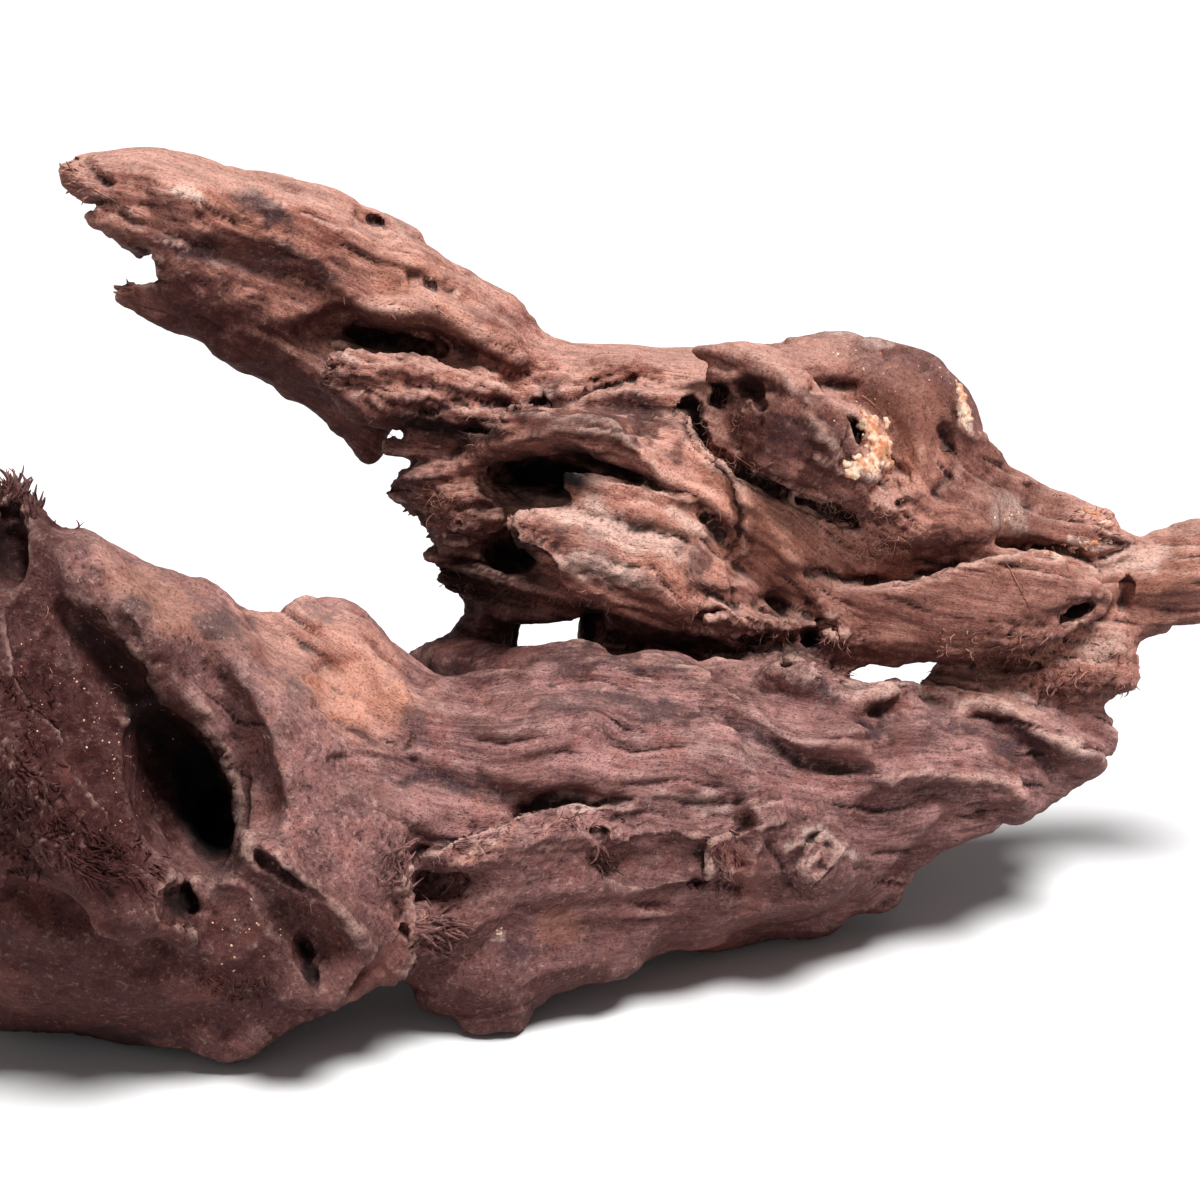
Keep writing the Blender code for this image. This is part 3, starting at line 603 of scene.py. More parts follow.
# Hollows cut into the skin: pixel, half sizes in pixels, how deep in mm, turn in degrees
hollows = (
    "112,720,66,165,11,-28 182,790,46,84,34,-20 108,668,30,84,22,-38 204,826,30,40,46,-8 4,545,22,42,20,-10 "
    "168,905,9,22,14,8 186,903,9,20,15,-12 290,882,52,9,9,36 270,866,30,8,9,40 304,952,7,18,9,-14 "
    "312,978,6,18,8,-22 442,887,36,16,9,-8 425,880,16,14,14,20 590,831,17,6,9,28 602,836,9,8,8,-20 "
    "697,884,11,4,7,0 660,862,62,30,5,0 789,665,11,7,10,10 240,940,40,56,5,-30 395,343,62,12,14,12 "
    "440,428,66,8,8,4 398,434,7,6,90,0 378,222,15,5,4,25 433,284,20,6,5,15 92,202,22,5,50,8 140,262,18,22,60,-10 "
    "128,277,28,8,50,-16 540,476,56,24,14,4 590,466,50,12,10,14 640,482,34,6,8,26 512,550,32,28,18,10 "
    "452,535,34,4,9,3 462,560,34,5,9,6 470,508,30,5,9,-4 719,395,12,15,14,10 749,388,20,10,9,20 "
    "760,400,8,12,8,-20 853,431,7,18,9,-10 834,390,21,4,8,-3 945,432,8,15,4,0 968,522,5,6,4,0 950,537,4,4,3,0 "
    "904,501,11,7,8,10 850,518,38,8,6,18 1076,613,24,7,11,-20 812,640,11,12,12,10 697,628,7,15,9,8 "
    "755,640,26,6,7,0 1010,668,40,8,8,-5 878,675,34,9,90,-2 1126,600,8,30,6,10"
)
# Clefts: half width in pixels, depth in mm and the way
clefts = [
    (5, 12, "690,395 700,432 722,458 748,477 785,493 815,505 850,520"),
    (3, 7, "690,500 712,525 728,555 738,590"),
    (2.5, 6, "800,574 850,582 905,580 945,566 1000,553 1038,548 1075,556 1102,574"),
    (3, 7, "420,412 470,402 515,410 545,396"),
    (3, 6, "80,152 94,172 112,192"),
    (2.5, 5, "345,352 390,356 430,362 470,378 505,398"),
    (3, 8, "700,612 760,612 820,618 840,636"),
    (3, 6, "398,888 402,930 420,955 405,980"),
    (2.5, 5, "545,408 600,400 660,410 700,404"),
]
# Angular lengths of wood added on: stations of pixel, mm away, half height and half depth in mm
limbs = [
    "562,482,24,2,3 575,484,24,4,5 610,496,25,6,7 660,514,30,7,7 720,540,38,6,6",
    "508,520,14,2,4 520,524,14,5,6 560,545,17,8,8 610,572,20,11,9 680,596,26,10,9 750,612,36,7,7",
    "496,446,34,3,8 540,428,30,5,8 590,428,28,5,7 640,456,26,5,6 676,488,25,2,3",
    "400,478,56,3,6 440,472,50,5,9 500,455,46,5,9 550,440,44,4,8",
    "388,490,58,2,5 430,510,50,5,9 490,520,44,5,9 540,530,40,4,8",
    "428,552,56,2,6 470,562,50,4,9 530,580,46,5,10 580,596,44,5,9",
    "440,582,60,2,6 500,600,56,5,9 550,610,52,6,9 590,600,52,4,7",
    "328,360,44,2,4 360,365,42,5,6 420,368,44,5,6 480,388,48,4,6 520,402,52,2,4",
    "326,385,46,2,4 380,392,44,5,6 440,400,46,5,6 500,412,52,3,5",
    "700,352,60,3,5 740,348,46,5,6 790,385,30,6,6 822,430,24,6,6 860,480,28,4,5",
    "1040,520,66,3,4 1090,530,66,4,4 1126,546,66,2,3",
    "816,600,40,5,5 828,618,36,6,6 840,640,36,4,4",
    "400,450,62,2,3 430,452,62,5,8 480,460,62,9,10 540,450,60,9,10",
    "735,632,50,3,4 742,646,48,4,4 748,656,50,2,3",
    "382,446,50,3,4 408,444,50,6,5 440,438,52,8,6 480,430,56,6,6",
    "650,636,62,6,6 690,652,62,8,8 730,660,62,6,6",
]


def onSkin(tree, px, py):
    hit, normal = skinAt(tree, px, py)
    return inSpace(px, py, 60) if hit is None else hit


def addBall(model, centre, across, up, deep, turn):
    # a copy of the model ball, turned in the plane of the picture, in mm
    ball = copyOf(model)
    lean = Matrix.Rotation(-picture["tilt"], 4, "X") @ Matrix.Rotation(math.radians(turn), 4, "Y")
    ball.data.transform(Matrix.Translation(centre) @ lean @ Matrix.Diagonal((across, deep, up, 1)))
    return ball


def addLimb(stations, draw, sides=9, cuts=13):
    deselectAll()
    bpy.ops.mesh.primitive_cylinder_add(vertices=sides, radius=1, depth=2)
    limb = bpy.context.object
    bpy.ops.object.mode_set(mode="EDIT")
    bpy.ops.mesh.select_all(action="DESELECT")
    bpy.ops.object.mode_set(mode="OBJECT")
    for edge in limb.data.edges:
        ends = [limb.data.vertices[v].co.z for v in edge.vertices]
        edge.select = ends[0] * ends[1] < 0
    bpy.ops.object.mode_set(mode="EDIT")
    bpy.ops.mesh.select_mode(type="EDGE")
    bpy.ops.mesh.subdivide(number_cuts=cuts)
    bpy.ops.object.mode_set(mode="OBJECT")
    placed = [(*inSpace(*s[:3]), *s[3:]) for s in drawn(stations)]
    rows = curveThrough(placed, 1.5)
    facets = 1 + draw.uniform(-0.28, 0.28, sides)
    for vertex in limb.data.vertices:
        where = (vertex.co.z + 1) / 2 * (len(rows) - 1)
        k = min(int(where), len(rows) - 2)
        row = rows[k] * (1 - where + k) + rows[k + 1] * (where - k)
        ahead = Vector(rows[k + 1][:3] - rows[k][:3]).normalized()
        deep = ahead.cross(Vector((0, 0, 1))).normalized()
        rise = deep.cross(ahead)
        turn = math.atan2(vertex.co.y, vertex.co.x)
        side = facets[int(round(turn / math.tau * sides)) % sides]
        vertex.co = Vector(row[:3]) + (rise * math.sin(turn) * row[3] + deep * math.cos(turn) * row[4]) * side
    bpy.ops.object.mode_set(mode="EDIT")
    bpy.ops.mesh.select_all(action="SELECT")
    bpy.ops.mesh.normals_make_consistent(inside=False)
    bpy.ops.object.mode_set(mode="OBJECT")
    return limb


def inMetres(obj):
    # a shape made in mm becomes one in metres, with its place in its mesh
    obj.data.transform(Matrix.Scale(mm, 4) @ obj.matrix_basis)
    obj.matrix_basis = Matrix.Identity(4)


def growLimbs(blank):
    draw = np.random.default_rng(wood["seed"])
    made = [addLimb(stations, draw) for stations in limbs]
    for limb in made:
        inMetres(limb)
    whole = joinTogether([blank, *made], "weathered_wood")
    evenSkin(whole, wood["fuseSize"])
    return whole


def cutHollows(blank):
    tree = treeOf(blank)
    deselectAll()
    bpy.ops.mesh.primitive_ico_sphere_add(subdivisions=4, radius=1)
    model = bpy.context.object
    scale = picture["pixelsPerMm"]
    made = []
    for px, py, wide, high, deep, turn in drawn(hollows):
        centre = onSkin(tree, px, py) - towards(px, py) * 2.0
        made.append(addBall(model, centre, wide / scale, high / scale, deep + 2.0, turn))
    for wide, deep, way in clefts:
        for px, py in curveThrough(drawn(way), wide * 0.9):
            made.append(addBall(model, onSkin(tree, px, py), wide / scale, wide / scale, deep, 0))
    bpy.data.objects.remove(model)
    for ball in made:
        inMetres(ball)
    cutter = joinTogether(made, "cutter")
    evenSkin(cutter, wood["fuseSize"])
    points, normals = skinOf(cutter)
    rough = fractal(points, 8, 3) * 1.6 + fractal(points, 2.5, 2, 5) * 0.5
    reshape(cutter, points + normals * rough[:, None])
    evenSkin(cutter, wood["fuseSize"])
    finishWith(blank, "BOOLEAN", operation="DIFFERENCE", solver="MANIFOLD", object=cutter)
    bpy.data.objects.remove(cutter)


def keepLargest(obj):
    makeActive(obj)
    bpy.ops.object.mode_set(mode="EDIT")
    bpy.ops.mesh.select_all(action="SELECT")
    bpy.ops.mesh.separate(type="LOOSE")
    bpy.ops.object.mode_set(mode="OBJECT")
    found = sorted(bpy.context.selected_objects, key=lambda o: len(o.data.vertices))
    for crumb in found[:-1]:
        bpy.data.objects.remove(crumb)
    return found[-1]


def keepInside(obj):
    # the skin stays inside the solid's box: flat where it rests, eased back near the other sides
    points, normals = skinOf(obj)
    low, high = np.array(cadBox[0]) / mm, np.array(cadBox[1]) / mm
    band = wood["edgeBand"]
    over = np.maximum(points - (high - band), 0)
    under = np.maximum((low + band) - points, 0)
    eased = points - over + band * 0.98 * np.tanh(over / band)
    eased += under - band * 0.98 * np.tanh(under / band)
    eased[:, 2] = np.where(points[:, 2] < band, np.maximum(points[:, 2], 0.05), eased[:, 2])
    reshape(obj, eased)


def carveWood():
    blank = copyOf(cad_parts["ironwood_piece"])
    makeActive(blank)
    bpy.ops.object.mode_set(mode="EDIT")
    bpy.ops.mesh.select_all(action="SELECT")
    bpy.ops.mesh.remove_doubles(threshold=0.00001)
    bpy.ops.object.mode_set(mode="OBJECT")
    evenSkin(blank, wood["fuseSize"])
    finishWith(blank, "SMOOTH", factor=0.5, iterations=5)
    log(f"blank of {len(blank.data.polygons)} faces")
    blank = growLimbs(blank)
    log("limbs grown")
    cutHollows(blank)
    evenSkin(blank, wood["skinSize"])
    blank = keepLargest(blank)
    log("hollows cut")
    finishWith(blank, "SMOOTH", factor=0.5, iterations=1)
    pullOutline(blank)
    drawStrokes(blank)
    log("strokes drawn")
    raiseGrain(blank)
    keepInside(blank)
    log(f"grain raised on {len(blank.data.polygons)} faces")
    return blank


class Value:
    # a shader socket that plain arithmetic can be done on

    def __init__(self, nodes, socket):
        self.nodes = nodes
        self.socket = socket

    def math(self, kind, first, second):
        return self.nodes.add("ShaderNodeMath", {"operation": kind}, {0: first, 1: second})

    def __add__(self, other):
        return self.math("ADD", self, other)

    def __sub__(self, other):
        return self.math("SUBTRACT", self, other)

    def __mul__(self, other):
        return self.math("MULTIPLY", self, other)

    def __rsub__(self, other):
        return self.math("SUBTRACT", other, self)

    __radd__ = __add__
    __rmul__ = __mul__

    def between(self, low, high):
        # 0 below low, 1 above high and smooth between
        settings = {"interpolation_type": "SMOOTHSTEP"}
        return self.nodes.add("ShaderNodeMapRange", settings, {"Value": self, "From Min": low, "From Max": high})


class Nodes:
    # one material's nodes

    def __init__(self, name):
        self.material = bpy.data.materials.new(name)
        self.material.use_nodes = True
        self.tree = self.material.node_tree
        self.shader = self.tree.nodes["Principled BSDF"]

    def add(self, kind, settings=None, sockets=None, result=0):
        node = self.tree.nodes.new(kind)
        for name, value in (settings or {}).items():
            if name == "stops":
                ramp = node.color_ramp.elements
                for place, colour in value[2:]:
                    ramp.new(place)
                for element, (place, colour) in zip(ramp, value):
                    element.position = place
                    element.color = (*colour, 1)
            else:
                setattr(node, name, value)
        for name, value in (sockets or {}).items():
            self.feed(node.inputs[name], value)
        return Value(self, node.outputs[result])

    def feed(self, socket, value):
        if isinstance(value, Value):
            self.tree.links.new(value.socket, socket)
        else:
            socket.default_value = value

    def mix(self, factor, first, second):
        settings = {"data_type": "RGBA", "blend_type": "MIX", "clamp_factor": True}
        return self.add("ShaderNodeMix", settings, {0: factor, 6: first, 7: second}, 2)

    def attribute(self, name):
        return self.add("ShaderNodeAttribute", {"attribute_name": name}, {}, 1)

    def place(self):
        return self.add("ShaderNodeTexCoord", {}, {}, 3)

    def scaled(self, vector, by):
        return self.add("ShaderNodeVectorMath", {"operation": "MULTIPLY"}, {0: vector, 1: by})

    def noise(self, vector, size, detail=2.0, rough=0.5, warp=0.0):
        sockets = {"Vector": vector, "Scale": size, "Detail": detail, "Roughness": rough, "Distortion": warp}
        return self.add("ShaderNodeTexNoise", {"normalize": True}, sockets)

    def split(self, vector):
        return [self.add("ShaderNodeSeparateXYZ", {}, {0: vector}, k) for k in range(3)]

    def finish(self, colour, rough, height=None, strength=0, distance=0):
        self.feed(self.shader.inputs["Base Color"], colour)
        self.feed(self.shader.inputs["Roughness"], rough)
        if height:
            sockets = {"Height": height, "Strength": strength, "Distance": distance}
            self.feed(self.shader.inputs["Normal"], self.add("ShaderNodeBump", {}, sockets))
            self.shader.inputs["Specular IOR Level"].default_value = 0.2
        return self.material


def tone(red, green, blue):
    # a colour written as it is seen, 0 to 255, as the shader wants it
    linear = [((c / 255 + 0.055) / 1.055) ** 2.4 if c > 10 else c / 255 / 12.92 for c in (red, green, blue)]
    return (*linear, 1)


# light, deep and dark are also used for painted highlight and painted shade, and shade for painted shade in hollows
colours = {
    "greyed": tone(172, 124, 120),
    "greyedDark": tone(88, 55, 54),
    "tan": tone(208, 146, 128),
    "tanDark": tone(126, 74, 64),
    "light": tone(238, 196, 180),
    "orange": tone(212, 144, 116),
    "stain": tone(54, 38, 45),
    "pale": tone(244, 216, 202),
    "deep": tone(68, 31, 29),
    "dark": tone(34, 14, 14),
    "rust": tone(146, 78, 64),
    "shade": tone(16, 8, 9),
}


def woodMaterial():
    nodes = Nodes("ironwood")
    grain = nodes.attribute("grain")
    place = nodes.place()
    orange, stain, pale = nodes.split(nodes.attribute("tint"))
    warm, deep, torn = nodes.split(nodes.attribute("base"))
    # form holds the relief and how far the skin faces up, rest the mottled patches, how far it faces down and the
    # hollows' shade; these drive painted highlight and painted shade
    fineForm, broadForm, above = nodes.split(nodes.attribute("form"))
    mottled, below, shade = nodes.split(nodes.attribute("rest"))
    broadStreak = nodes.noise(grain, 0.22, 3, 0.55)
    streak = nodes.noise(grain, 0.95, 4, 0.6)
    thread = nodes.noise(nodes.scaled(grain, (1.5, 1, 1)), 2.8, 2, 0.6)
    cloud = nodes.noise(place, 38, 4, 0.6)
    blotch = nodes.noise(place, 95, 5, 0.7, 0.6)
    mottle = nodes.noise(place, 260, 4, 0.7)
    speck = nodes.noise(place, 850, 4, 0.75)
    dash = nodes.noise(nodes.scaled(grain, (3.6, 1, 1)), 2.9, 1, 0.5).between(0.6, 0.7)
    grit = nodes.noise(place, 430, 5, 0.8)
    lines = (streak * 0.6 + broadStreak * 0.75 - 0.17).between(0.3, 0.7)
    lines = lines + (blotch.between(0.3, 0.7) - lines) * mottled
    greyed = nodes.mix(lines, colours["greyedDark"], colours["greyed"])
    tanned = nodes.mix(lines, colours["tanDark"], colours["tan"])
    colour = nodes.mix((warm + (cloud - 0.5) * 0.9).between(0.15, 0.85), greyed, tanned)
    layers = [
        ("rust", (blotch - cloud * 0.5).between(0.25, 0.4) * 0.35),
        ("tanDark", mottle.between(0.42, 0.3) * 0.45),
        ("orange", orange * (0.3 + blotch * 0.9)),
        ("light", mottle.between(0.52, 0.7) * thread.between(0.4, 0.7) * 0.4),
        # deep patches: partly darker wood, partly painted shade on undersides, along the bottom and in creases between
        # the parts
        ("deep", deep * (0.98 + (blotch - 0.5) * 2.2)),
        ("pale", pale * (streak * 0.9 + mottle * 0.9 - 0.1)),
        ("stain", stain * (streak * 0.6 + blotch).between(0.5, 0.82)),
        # ridges and rims lighter: partly wear, partly painted highlight
        ("light", broadForm.between(0.2, 1.1) * 0.16 + fineForm.between(0.2, 1.4) * 0.25),
        # painted shade: creases and hollows darker, at a fine and a broad scale
        ("dark", (0 - fineForm).between(0.1, 1.2) * 0.8),
        ("dark", (0 - broadForm).between(0.1, 1.3) * 0.8),
        # painted shade: skin facing down made darker
        ("deep", below * 0.85),
        ("dark", dash * (1 - mottled * 0.6) * 0.6),
        ("dark", grit.between(0.47, 0.34) * (0.35 + mottled * 0.4)),
        ("light", grit.between(0.54, 0.68) * (0.2 + mottled * 0.25) * (1 - deep * 0.7)),
        ("tanDark", (cloud - 0.5).between(0.02, 0.2) * 0.5),
        # painted highlight: skin facing up made lighter
        ("light", above * (0.05 + warm * 0.26) * (1 - deep) * (0.5 + streak)),
        ("dark", speck.between(0.5, 0.68) * (0.35 + mottled * 0.4)),
        ("shade", shade),
    ]
    for name, factor in layers:
        colour = nodes.mix(factor, colour, colours[name])
    height = (streak * 0.5 + thread * 0.35 - dash * 0.5) * (1 - mottled * 0.6)
    height = height + speck * (0.3 + mottled * 0.5) + mottle * (0.4 + torn * 0.5)
    height = height + grit * (0.4 + mottled * 0.6) + blotch * mottled * 0.4
    return nodes.finish(colour, 0.62 + mottle * 0.3, height, 0.8, 0.001)


# Patches of the skin: pixel, half sizes in pixels, turn in degrees and strength
patches = {
    "orange": (
        "360,690,56,44,40,0.8 330,636,46,20,10,0.4 560,925,26,20,0,0.5 700,520,60,80,40,0.35 870,430,20,36,20,0.7 "
        "905,430,40,60,20,0.5 1150,570,60,26,-8,0.5 160,600,60,24,40,0.5 420,290,60,30,30,0.5 "
        "250,205,60,30,20,0.3 770,540,60,40,40,0.4 480,850,40,10,-20,0.4"
    ),
    "stain": (
        "190,250,40,8,15,0.9 300,270,40,10,20,0.8 130,215,30,8,25,0.6 405,225,30,6,30,0.5 440,285,24,7,15,0.6 "
        "960,728,30,7,10,0.8 820,690,34,7,30,0.7 560,700,60,7,4,0.7 930,790,40,6,0,0.6 700,560,16,30,20,0.7 "
        "640,585,34,8,10,0.6 560,530,18,8,0,0.6 262,208,34,14,32,0.9 250,256,62,20,10,0.9 130,610,24,14,30,0.7 "
        "222,628,34,20,10,0.8 300,690,18,12,30,0.6 325,612,20,8,10,0.6 640,705,70,10,14,0.75 450,782,80,9,8,0.7 "
        "640,662,60,8,6,0.6 870,735,26,10,-10,0.9 910,718,26,8,5,0.6 1030,735,36,9,35,0.9 1005,750,24,6,20,0.7 "
        "770,745,40,9,30,0.8 520,950,20,12,0,0.6 410,725,22,14,20,0.5 600,560,26,12,20,0.5 790,430,26,18,0,0.5 "
        "590,540,20,10,20,0.4 690,560,30,14,60,0.5 560,660,30,10,0,0.4"
    ),
    "pale": (
        "812,840,26,8,-20,0.5 970,697,90,5,8,0.4 1075,748,30,5,30,0.4 850,692,30,5,-5,0.3 560,800,70,8,6,0.4 "
        "720,745,60,9,20,0.12 620,530,80,18,20,0.5 600,570,50,14,20,0.6 690,520,30,12,30,0.5 880,465,20,10,-10,1 "
        "962,410,6,30,-15,1 190,192,13,9,20,0.8 1010,515,26,16,20,0.35 1080,548,30,6,-15,0.8 "
        "1130,560,40,12,-10,0.5 500,932,10,6,0,0.5 470,850,30,6,-20,0.3 700,800,50,7,0,0.35 860,335,60,5,4,0.4 "
        "1100,650,30,14,-20,0.35 350,360,14,7,10,0.3 840,850,20,6,40,0.4"
    ),
    "shade": (
        "204,800,34,84,-16,1 160,730,26,70,-34,0.8 110,660,20,60,-42,0.6 545,474,62,20,6,1 600,462,50,7,22,0.8 "
        "512,552,26,24,0,0.85 745,480,46,6,20,0.7 697,415,6,26,-15,0.9 725,395,10,14,0,0.7 752,388,18,12,20,0.6 "
        "812,640,10,12,0,0.9 450,585,60,26,10,0.6 590,625,10,24,0,0.9 685,645,12,10,0,1 395,344,56,10,12,0.6 "
        "176,905,14,18,0,0.8 310,965,6,26,-16,0.8 450,430,60,12,6,0.8 4,545,16,36,0,0.7 100,1036,90,9,3,0.6 "
        "660,640,60,8,0,0.6 780,650,60,8,0,0.6"
    ),
    "mottled": (
        "130,600,160,60,35,1 110,960,260,110,0,1 300,860,110,140,0,0.9 300,700,50,50,0,0.6 90,740,90,150,-30,1 "
        "20,700,60,200,0,1 520,980,160,60,-5,0.6 450,900,70,60,0,0.8 600,860,160,40,0,0.5 900,370,110,70,30,0.8 "
        "800,440,80,60,20,0.6 1060,660,100,50,0,0.7 1000,520,80,40,10,0.6 800,850,60,60,0,0.6 780,660,60,24,0,0.8"
    ),
    "warm": (
        "250,250,330,170,25,1 700,470,330,190,10,1 1000,560,300,150,10,1 330,650,120,70,30,0.6 160,600,110,40,40,0.5"
    ),
    # deep: partly darker wood, partly painted shade on undersides, along the bottom and in creases between the parts
    "deep": (
        "235,330,170,42,35,0.9 330,330,30,40,30,0.8 600,418,120,22,4,0.85 30,600,60,60,30,0.8 560,950,160,40,-8,0.5 "
        "870,735,40,20,0,0.5 1010,740,60,24,30,0.5 820,700,40,20,20,0.5 560,640,60,20,0,0.4 720,690,60,20,30,0.5 "
        "20,830,180,240,0,1 10,560,70,90,0,0.8 300,960,130,90,0,0.6 790,440,80,50,20,0.85 300,400,120,40,40,0.8 "
        "560,650,120,12,0,0.6 110,980,260,90,0,0.9 140,720,60,130,-30,0.9 430,1000,180,60,-5,0.7 "
        "260,370,150,40,30,0.7 470,560,70,60,0,0.7 420,430,90,40,20,0.7 640,930,140,40,-10,0.5 "
        "480,640,60,50,0,0.8 820,640,160,30,5,0.4 930,390,90,70,30,0.5 1000,480,80,60,30,0.5 960,600,170,50,0,0.4 "
        "780,450,60,50,0,0.5 600,415,120,22,4,0.5 180,640,80,60,30,0.3 860,860,120,60,-20,0.35 "
        "700,870,120,50,0,0.5 400,520,60,50,0,0.6 1160,590,50,40,0,0.3"
    ),
    "torn": (
        "812,860,30,34,20,1 30,760,80,140,0,1 30,500,60,30,20,1 430,910,60,70,0,1 470,530,90,90,0,1 "
        "200,240,150,60,20,0.6 420,390,110,50,15,1 600,380,100,30,0,0.8 860,500,80,60,20,0.9 1050,660,110,50,0,1 "
        "560,840,140,40,-5,0.8 720,860,40,50,0,0.8 780,660,80,24,5,0.8 620,560,120,60,15,0.5 730,420,40,50,0,0.8 "
        "780,630,120,30,0,0.9"
    ),
    "calm": (
        "900,380,90,60,30,0.8 650,350,120,24,0,0.6 1000,520,60,30,20,0.7 80,720,60,120,-35,0.6 660,862,50,26,0,0.4 "
        "940,600,140,36,-4,0.4"
    ),
}


def patchStrength(kind, flat, wobble=0):
    found = np.zeros(len(flat))
    moved = flat + wobble
    for px, py, wide, high, turn, strength in drawn(patches[kind]):
        c, s = math.cos(math.radians(turn)), math.sin(math.radians(turn))
        dx, dy = moved[:, 0] - px, moved[:, 1] - py
        far = np.hypot((dx * c + dy * s) / wide, (dy * c - dx * s) / high)
        found = np.maximum(found, strength * smoothStep(1.25, 0.55, far))
    return found


def putAttribute(obj, name, values):
    layer = obj.data.attributes.new(name, "FLOAT_VECTOR", "POINT")
    layer.data.foreach_set("vector", values.astype(np.float32).ravel())


def wearAndPaintedLight(obj):
    # how far each point stands proud of its surroundings, at a fine and a broad scale; the material makes ridges
    # lighter, partly as wear and partly as painted highlight, and hollows darker, as painted shade
    points, normals = skinOf(obj)
    found = []
    for rounds in wood["wearAndPaintedLightRounds"]:
        soft = copyOf(obj)
        finishWith(soft, "SMOOTH", factor=0.5, iterations=rounds)
        calm, unused = skinOf(soft)
        found.append(((points - calm) * normals).sum(axis=1))
        mesh = soft.data
        bpy.data.objects.remove(soft)
        bpy.data.meshes.remove(mesh)
    return found


def colourPoints(obj, bare=False):
    points, normals = skinOf(obj)
    flat = onPicture(points)
    facing = smoothStep(-0.1, 0.3, facingEye(points, normals))
    wobble = np.column_stack([fractal(points, 9, 3), fractal(points, 9, 3, 31)]) * 14
    tint = [patchStrength(kind, flat, wobble) * facing for kind in ("orange", "stain", "pale")]
    base = [patchStrength(kind, flat, wobble * 2) for kind in ("warm", "deep", "torn")]
    # painted shade: below is how far the skin faces down; shade is the painted shade in the hollows
    below = smoothStep(0.1, -0.75, normals[:, 2])
    shade = patchStrength("shade", flat, wobble * 0.6) * smoothStep(-0.6, 0.0, facingEye(points, normals))
    putAttribute(obj, "rest", np.column_stack([patchStrength("mottled", flat, wobble * 2), below, shade]))
    fine, broad = (0 * facing, 0 * facing) if bare else wearAndPaintedLight(obj)
    putAttribute(obj, "base", np.column_stack(base))
    putAttribute(obj, "grain", grainAt(points))
    putAttribute(obj, "tint", np.column_stack(tint))
    # painted highlight: how far the skin faces up, made lighter in the material
    above = smoothStep(0.35, 0.95, normals[:, 2])
    fineScale, broadScale = wood["wearAndPaintedLightScale"]
    putAttribute(obj, "form", np.column_stack([fine / fineScale, broad / broadScale, above]))


# Torn fibres standing on the skin: pixel, half sizes in pixels, turn of the patch, count,
# length and thickness in mm, way they point in degrees and how curly they are
tufts = {
    "splinter": (
        "18,496,26,14,25,110,6.5,0.9,-95,0.25 66,524,12,5,20,20,5,0.7,-25,0.3 24,770,34,100,-8,420,7,0.6,70,0.8 "
        "100,850,60,24,25,170,7,0.6,35,0.7 84,862,26,12,30,34,15,0.45,35,0.15 176,930,22,7,0,50,4,0.4,-80,0.4 "
        "240,985,44,14,10,100,4,0.6,60,0.4 395,872,14,30,0,90,7,0.8,-75,0.25 428,936,20,20,0,60,8,1,-8,0.2 "
        "604,855,12,14,30,18,8,0.5,60,0.5 724,855,16,28,0,70,5,0.75,95,0.3 560,822,60,8,-8,80,5,0.4,5,0.3 "
        "455,845,34,8,-20,50,5,0.4,-10,0.3 836,674,24,7,5,40,5,0.4,0,0.3 1040,664,100,30,4,260,6,0.6,160,0.9 "
        "74,182,16,26,-20,44,4,1,190,0.15 126,288,12,9,0,16,4,1,190,0.15 390,308,50,8,5,40,4,0.4,20,0.3 "
        "336,378,8,26,0,50,4,0.45,180,0.3 420,530,22,70,-14,60,3,1.1,185,0.2 470,430,40,20,0,60,4,0.4,190,0.4 "
        "790,640,60,18,0,110,5,0.4,120,0.7 1080,520,40,16,30,60,3.5,0.5,-30,0.2 560,600,50,12,0,50,4,0.35,120,0.5 "
        "700,590,30,40,0,50,4,0.35,60,0.4 1120,690,26,14,0,40,4,0.4,60,0.5 380,425,40,16,0,60,4,0.4,190,0.4 "
        "300,905,40,10,35,50,4,0.35,100,0.5"
    ),
    "rootlet": (
        "455,500,22,18,0,60,9,0.14,150,2.2 728,435,30,34,0,90,10,0.13,80,2.2 715,402,12,16,0,26,8,0.13,120,2 "
        "862,532,46,24,10,150,9,0.15,40,2.4 905,520,26,22,0,50,8,0.14,0,2.2 820,500,20,12,20,30,8,0.14,60,2 "
        "450,590,26,12,0,26,9,0.14,200,2 425,905,26,14,0,30,10,0.14,30,1.8 1000,560,60,20,0,30,8,0.12,60,1.6 "
        "700,480,60,30,0,30,8,0.12,60,1.6 545,596,24,16,0,24,6,0.13,90,2 1060,660,60,24,0,40,7,0.1,150,1.6 "
        "960,430,30,40,0,24,6,0.12,60,1.6 120,700,80,120,-20,40,5,0.12,60,1.2"
    ),
}
# Single long strands lying on the skin: thickness in mm and the way
strands = [
    (0.2, "1005,560 1018,585 1030,610 1046,640"), (0.22, "95,190 130,208 168,228"),
    (0.16, "735,455 758,468 775,462 792,470"), (0.16, "700,440 716,458 742,462 760,480"),
    (0.18, "862,395 880,410 892,430"), (0.18, "440,488 452,500 470,496 462,512"),
    (0.18, "405,925 425,918 440,900 452,884"), (0.16, "810,545 826,566 833,590"),
]


def strandPoints(tree, start, way, length, lift, curl, draw):
    # a curling path in mm that starts just under the skin
    hit, normal = skinAt(tree, *start)
    if hit is None:
        return None
    turn = math.radians(way)
    right, down = Vector((1, 0, 0)), Vector((0, -tiltSin, -tiltCos))
    ahead = (right * math.cos(turn) + down * math.sin(turn)).lerp(normal, lift).normalized()
    points = [hit - normal * 0.8]
    twist = Vector(draw.normal(size=3)) * curl * 0.35
    for k in range(6):
        points.append(points[-1] + ahead * length / 6)
        ahead = (ahead + twist.cross(ahead) + Vector(draw.normal(size=3)) * curl * 0.16).normalized()
    return points


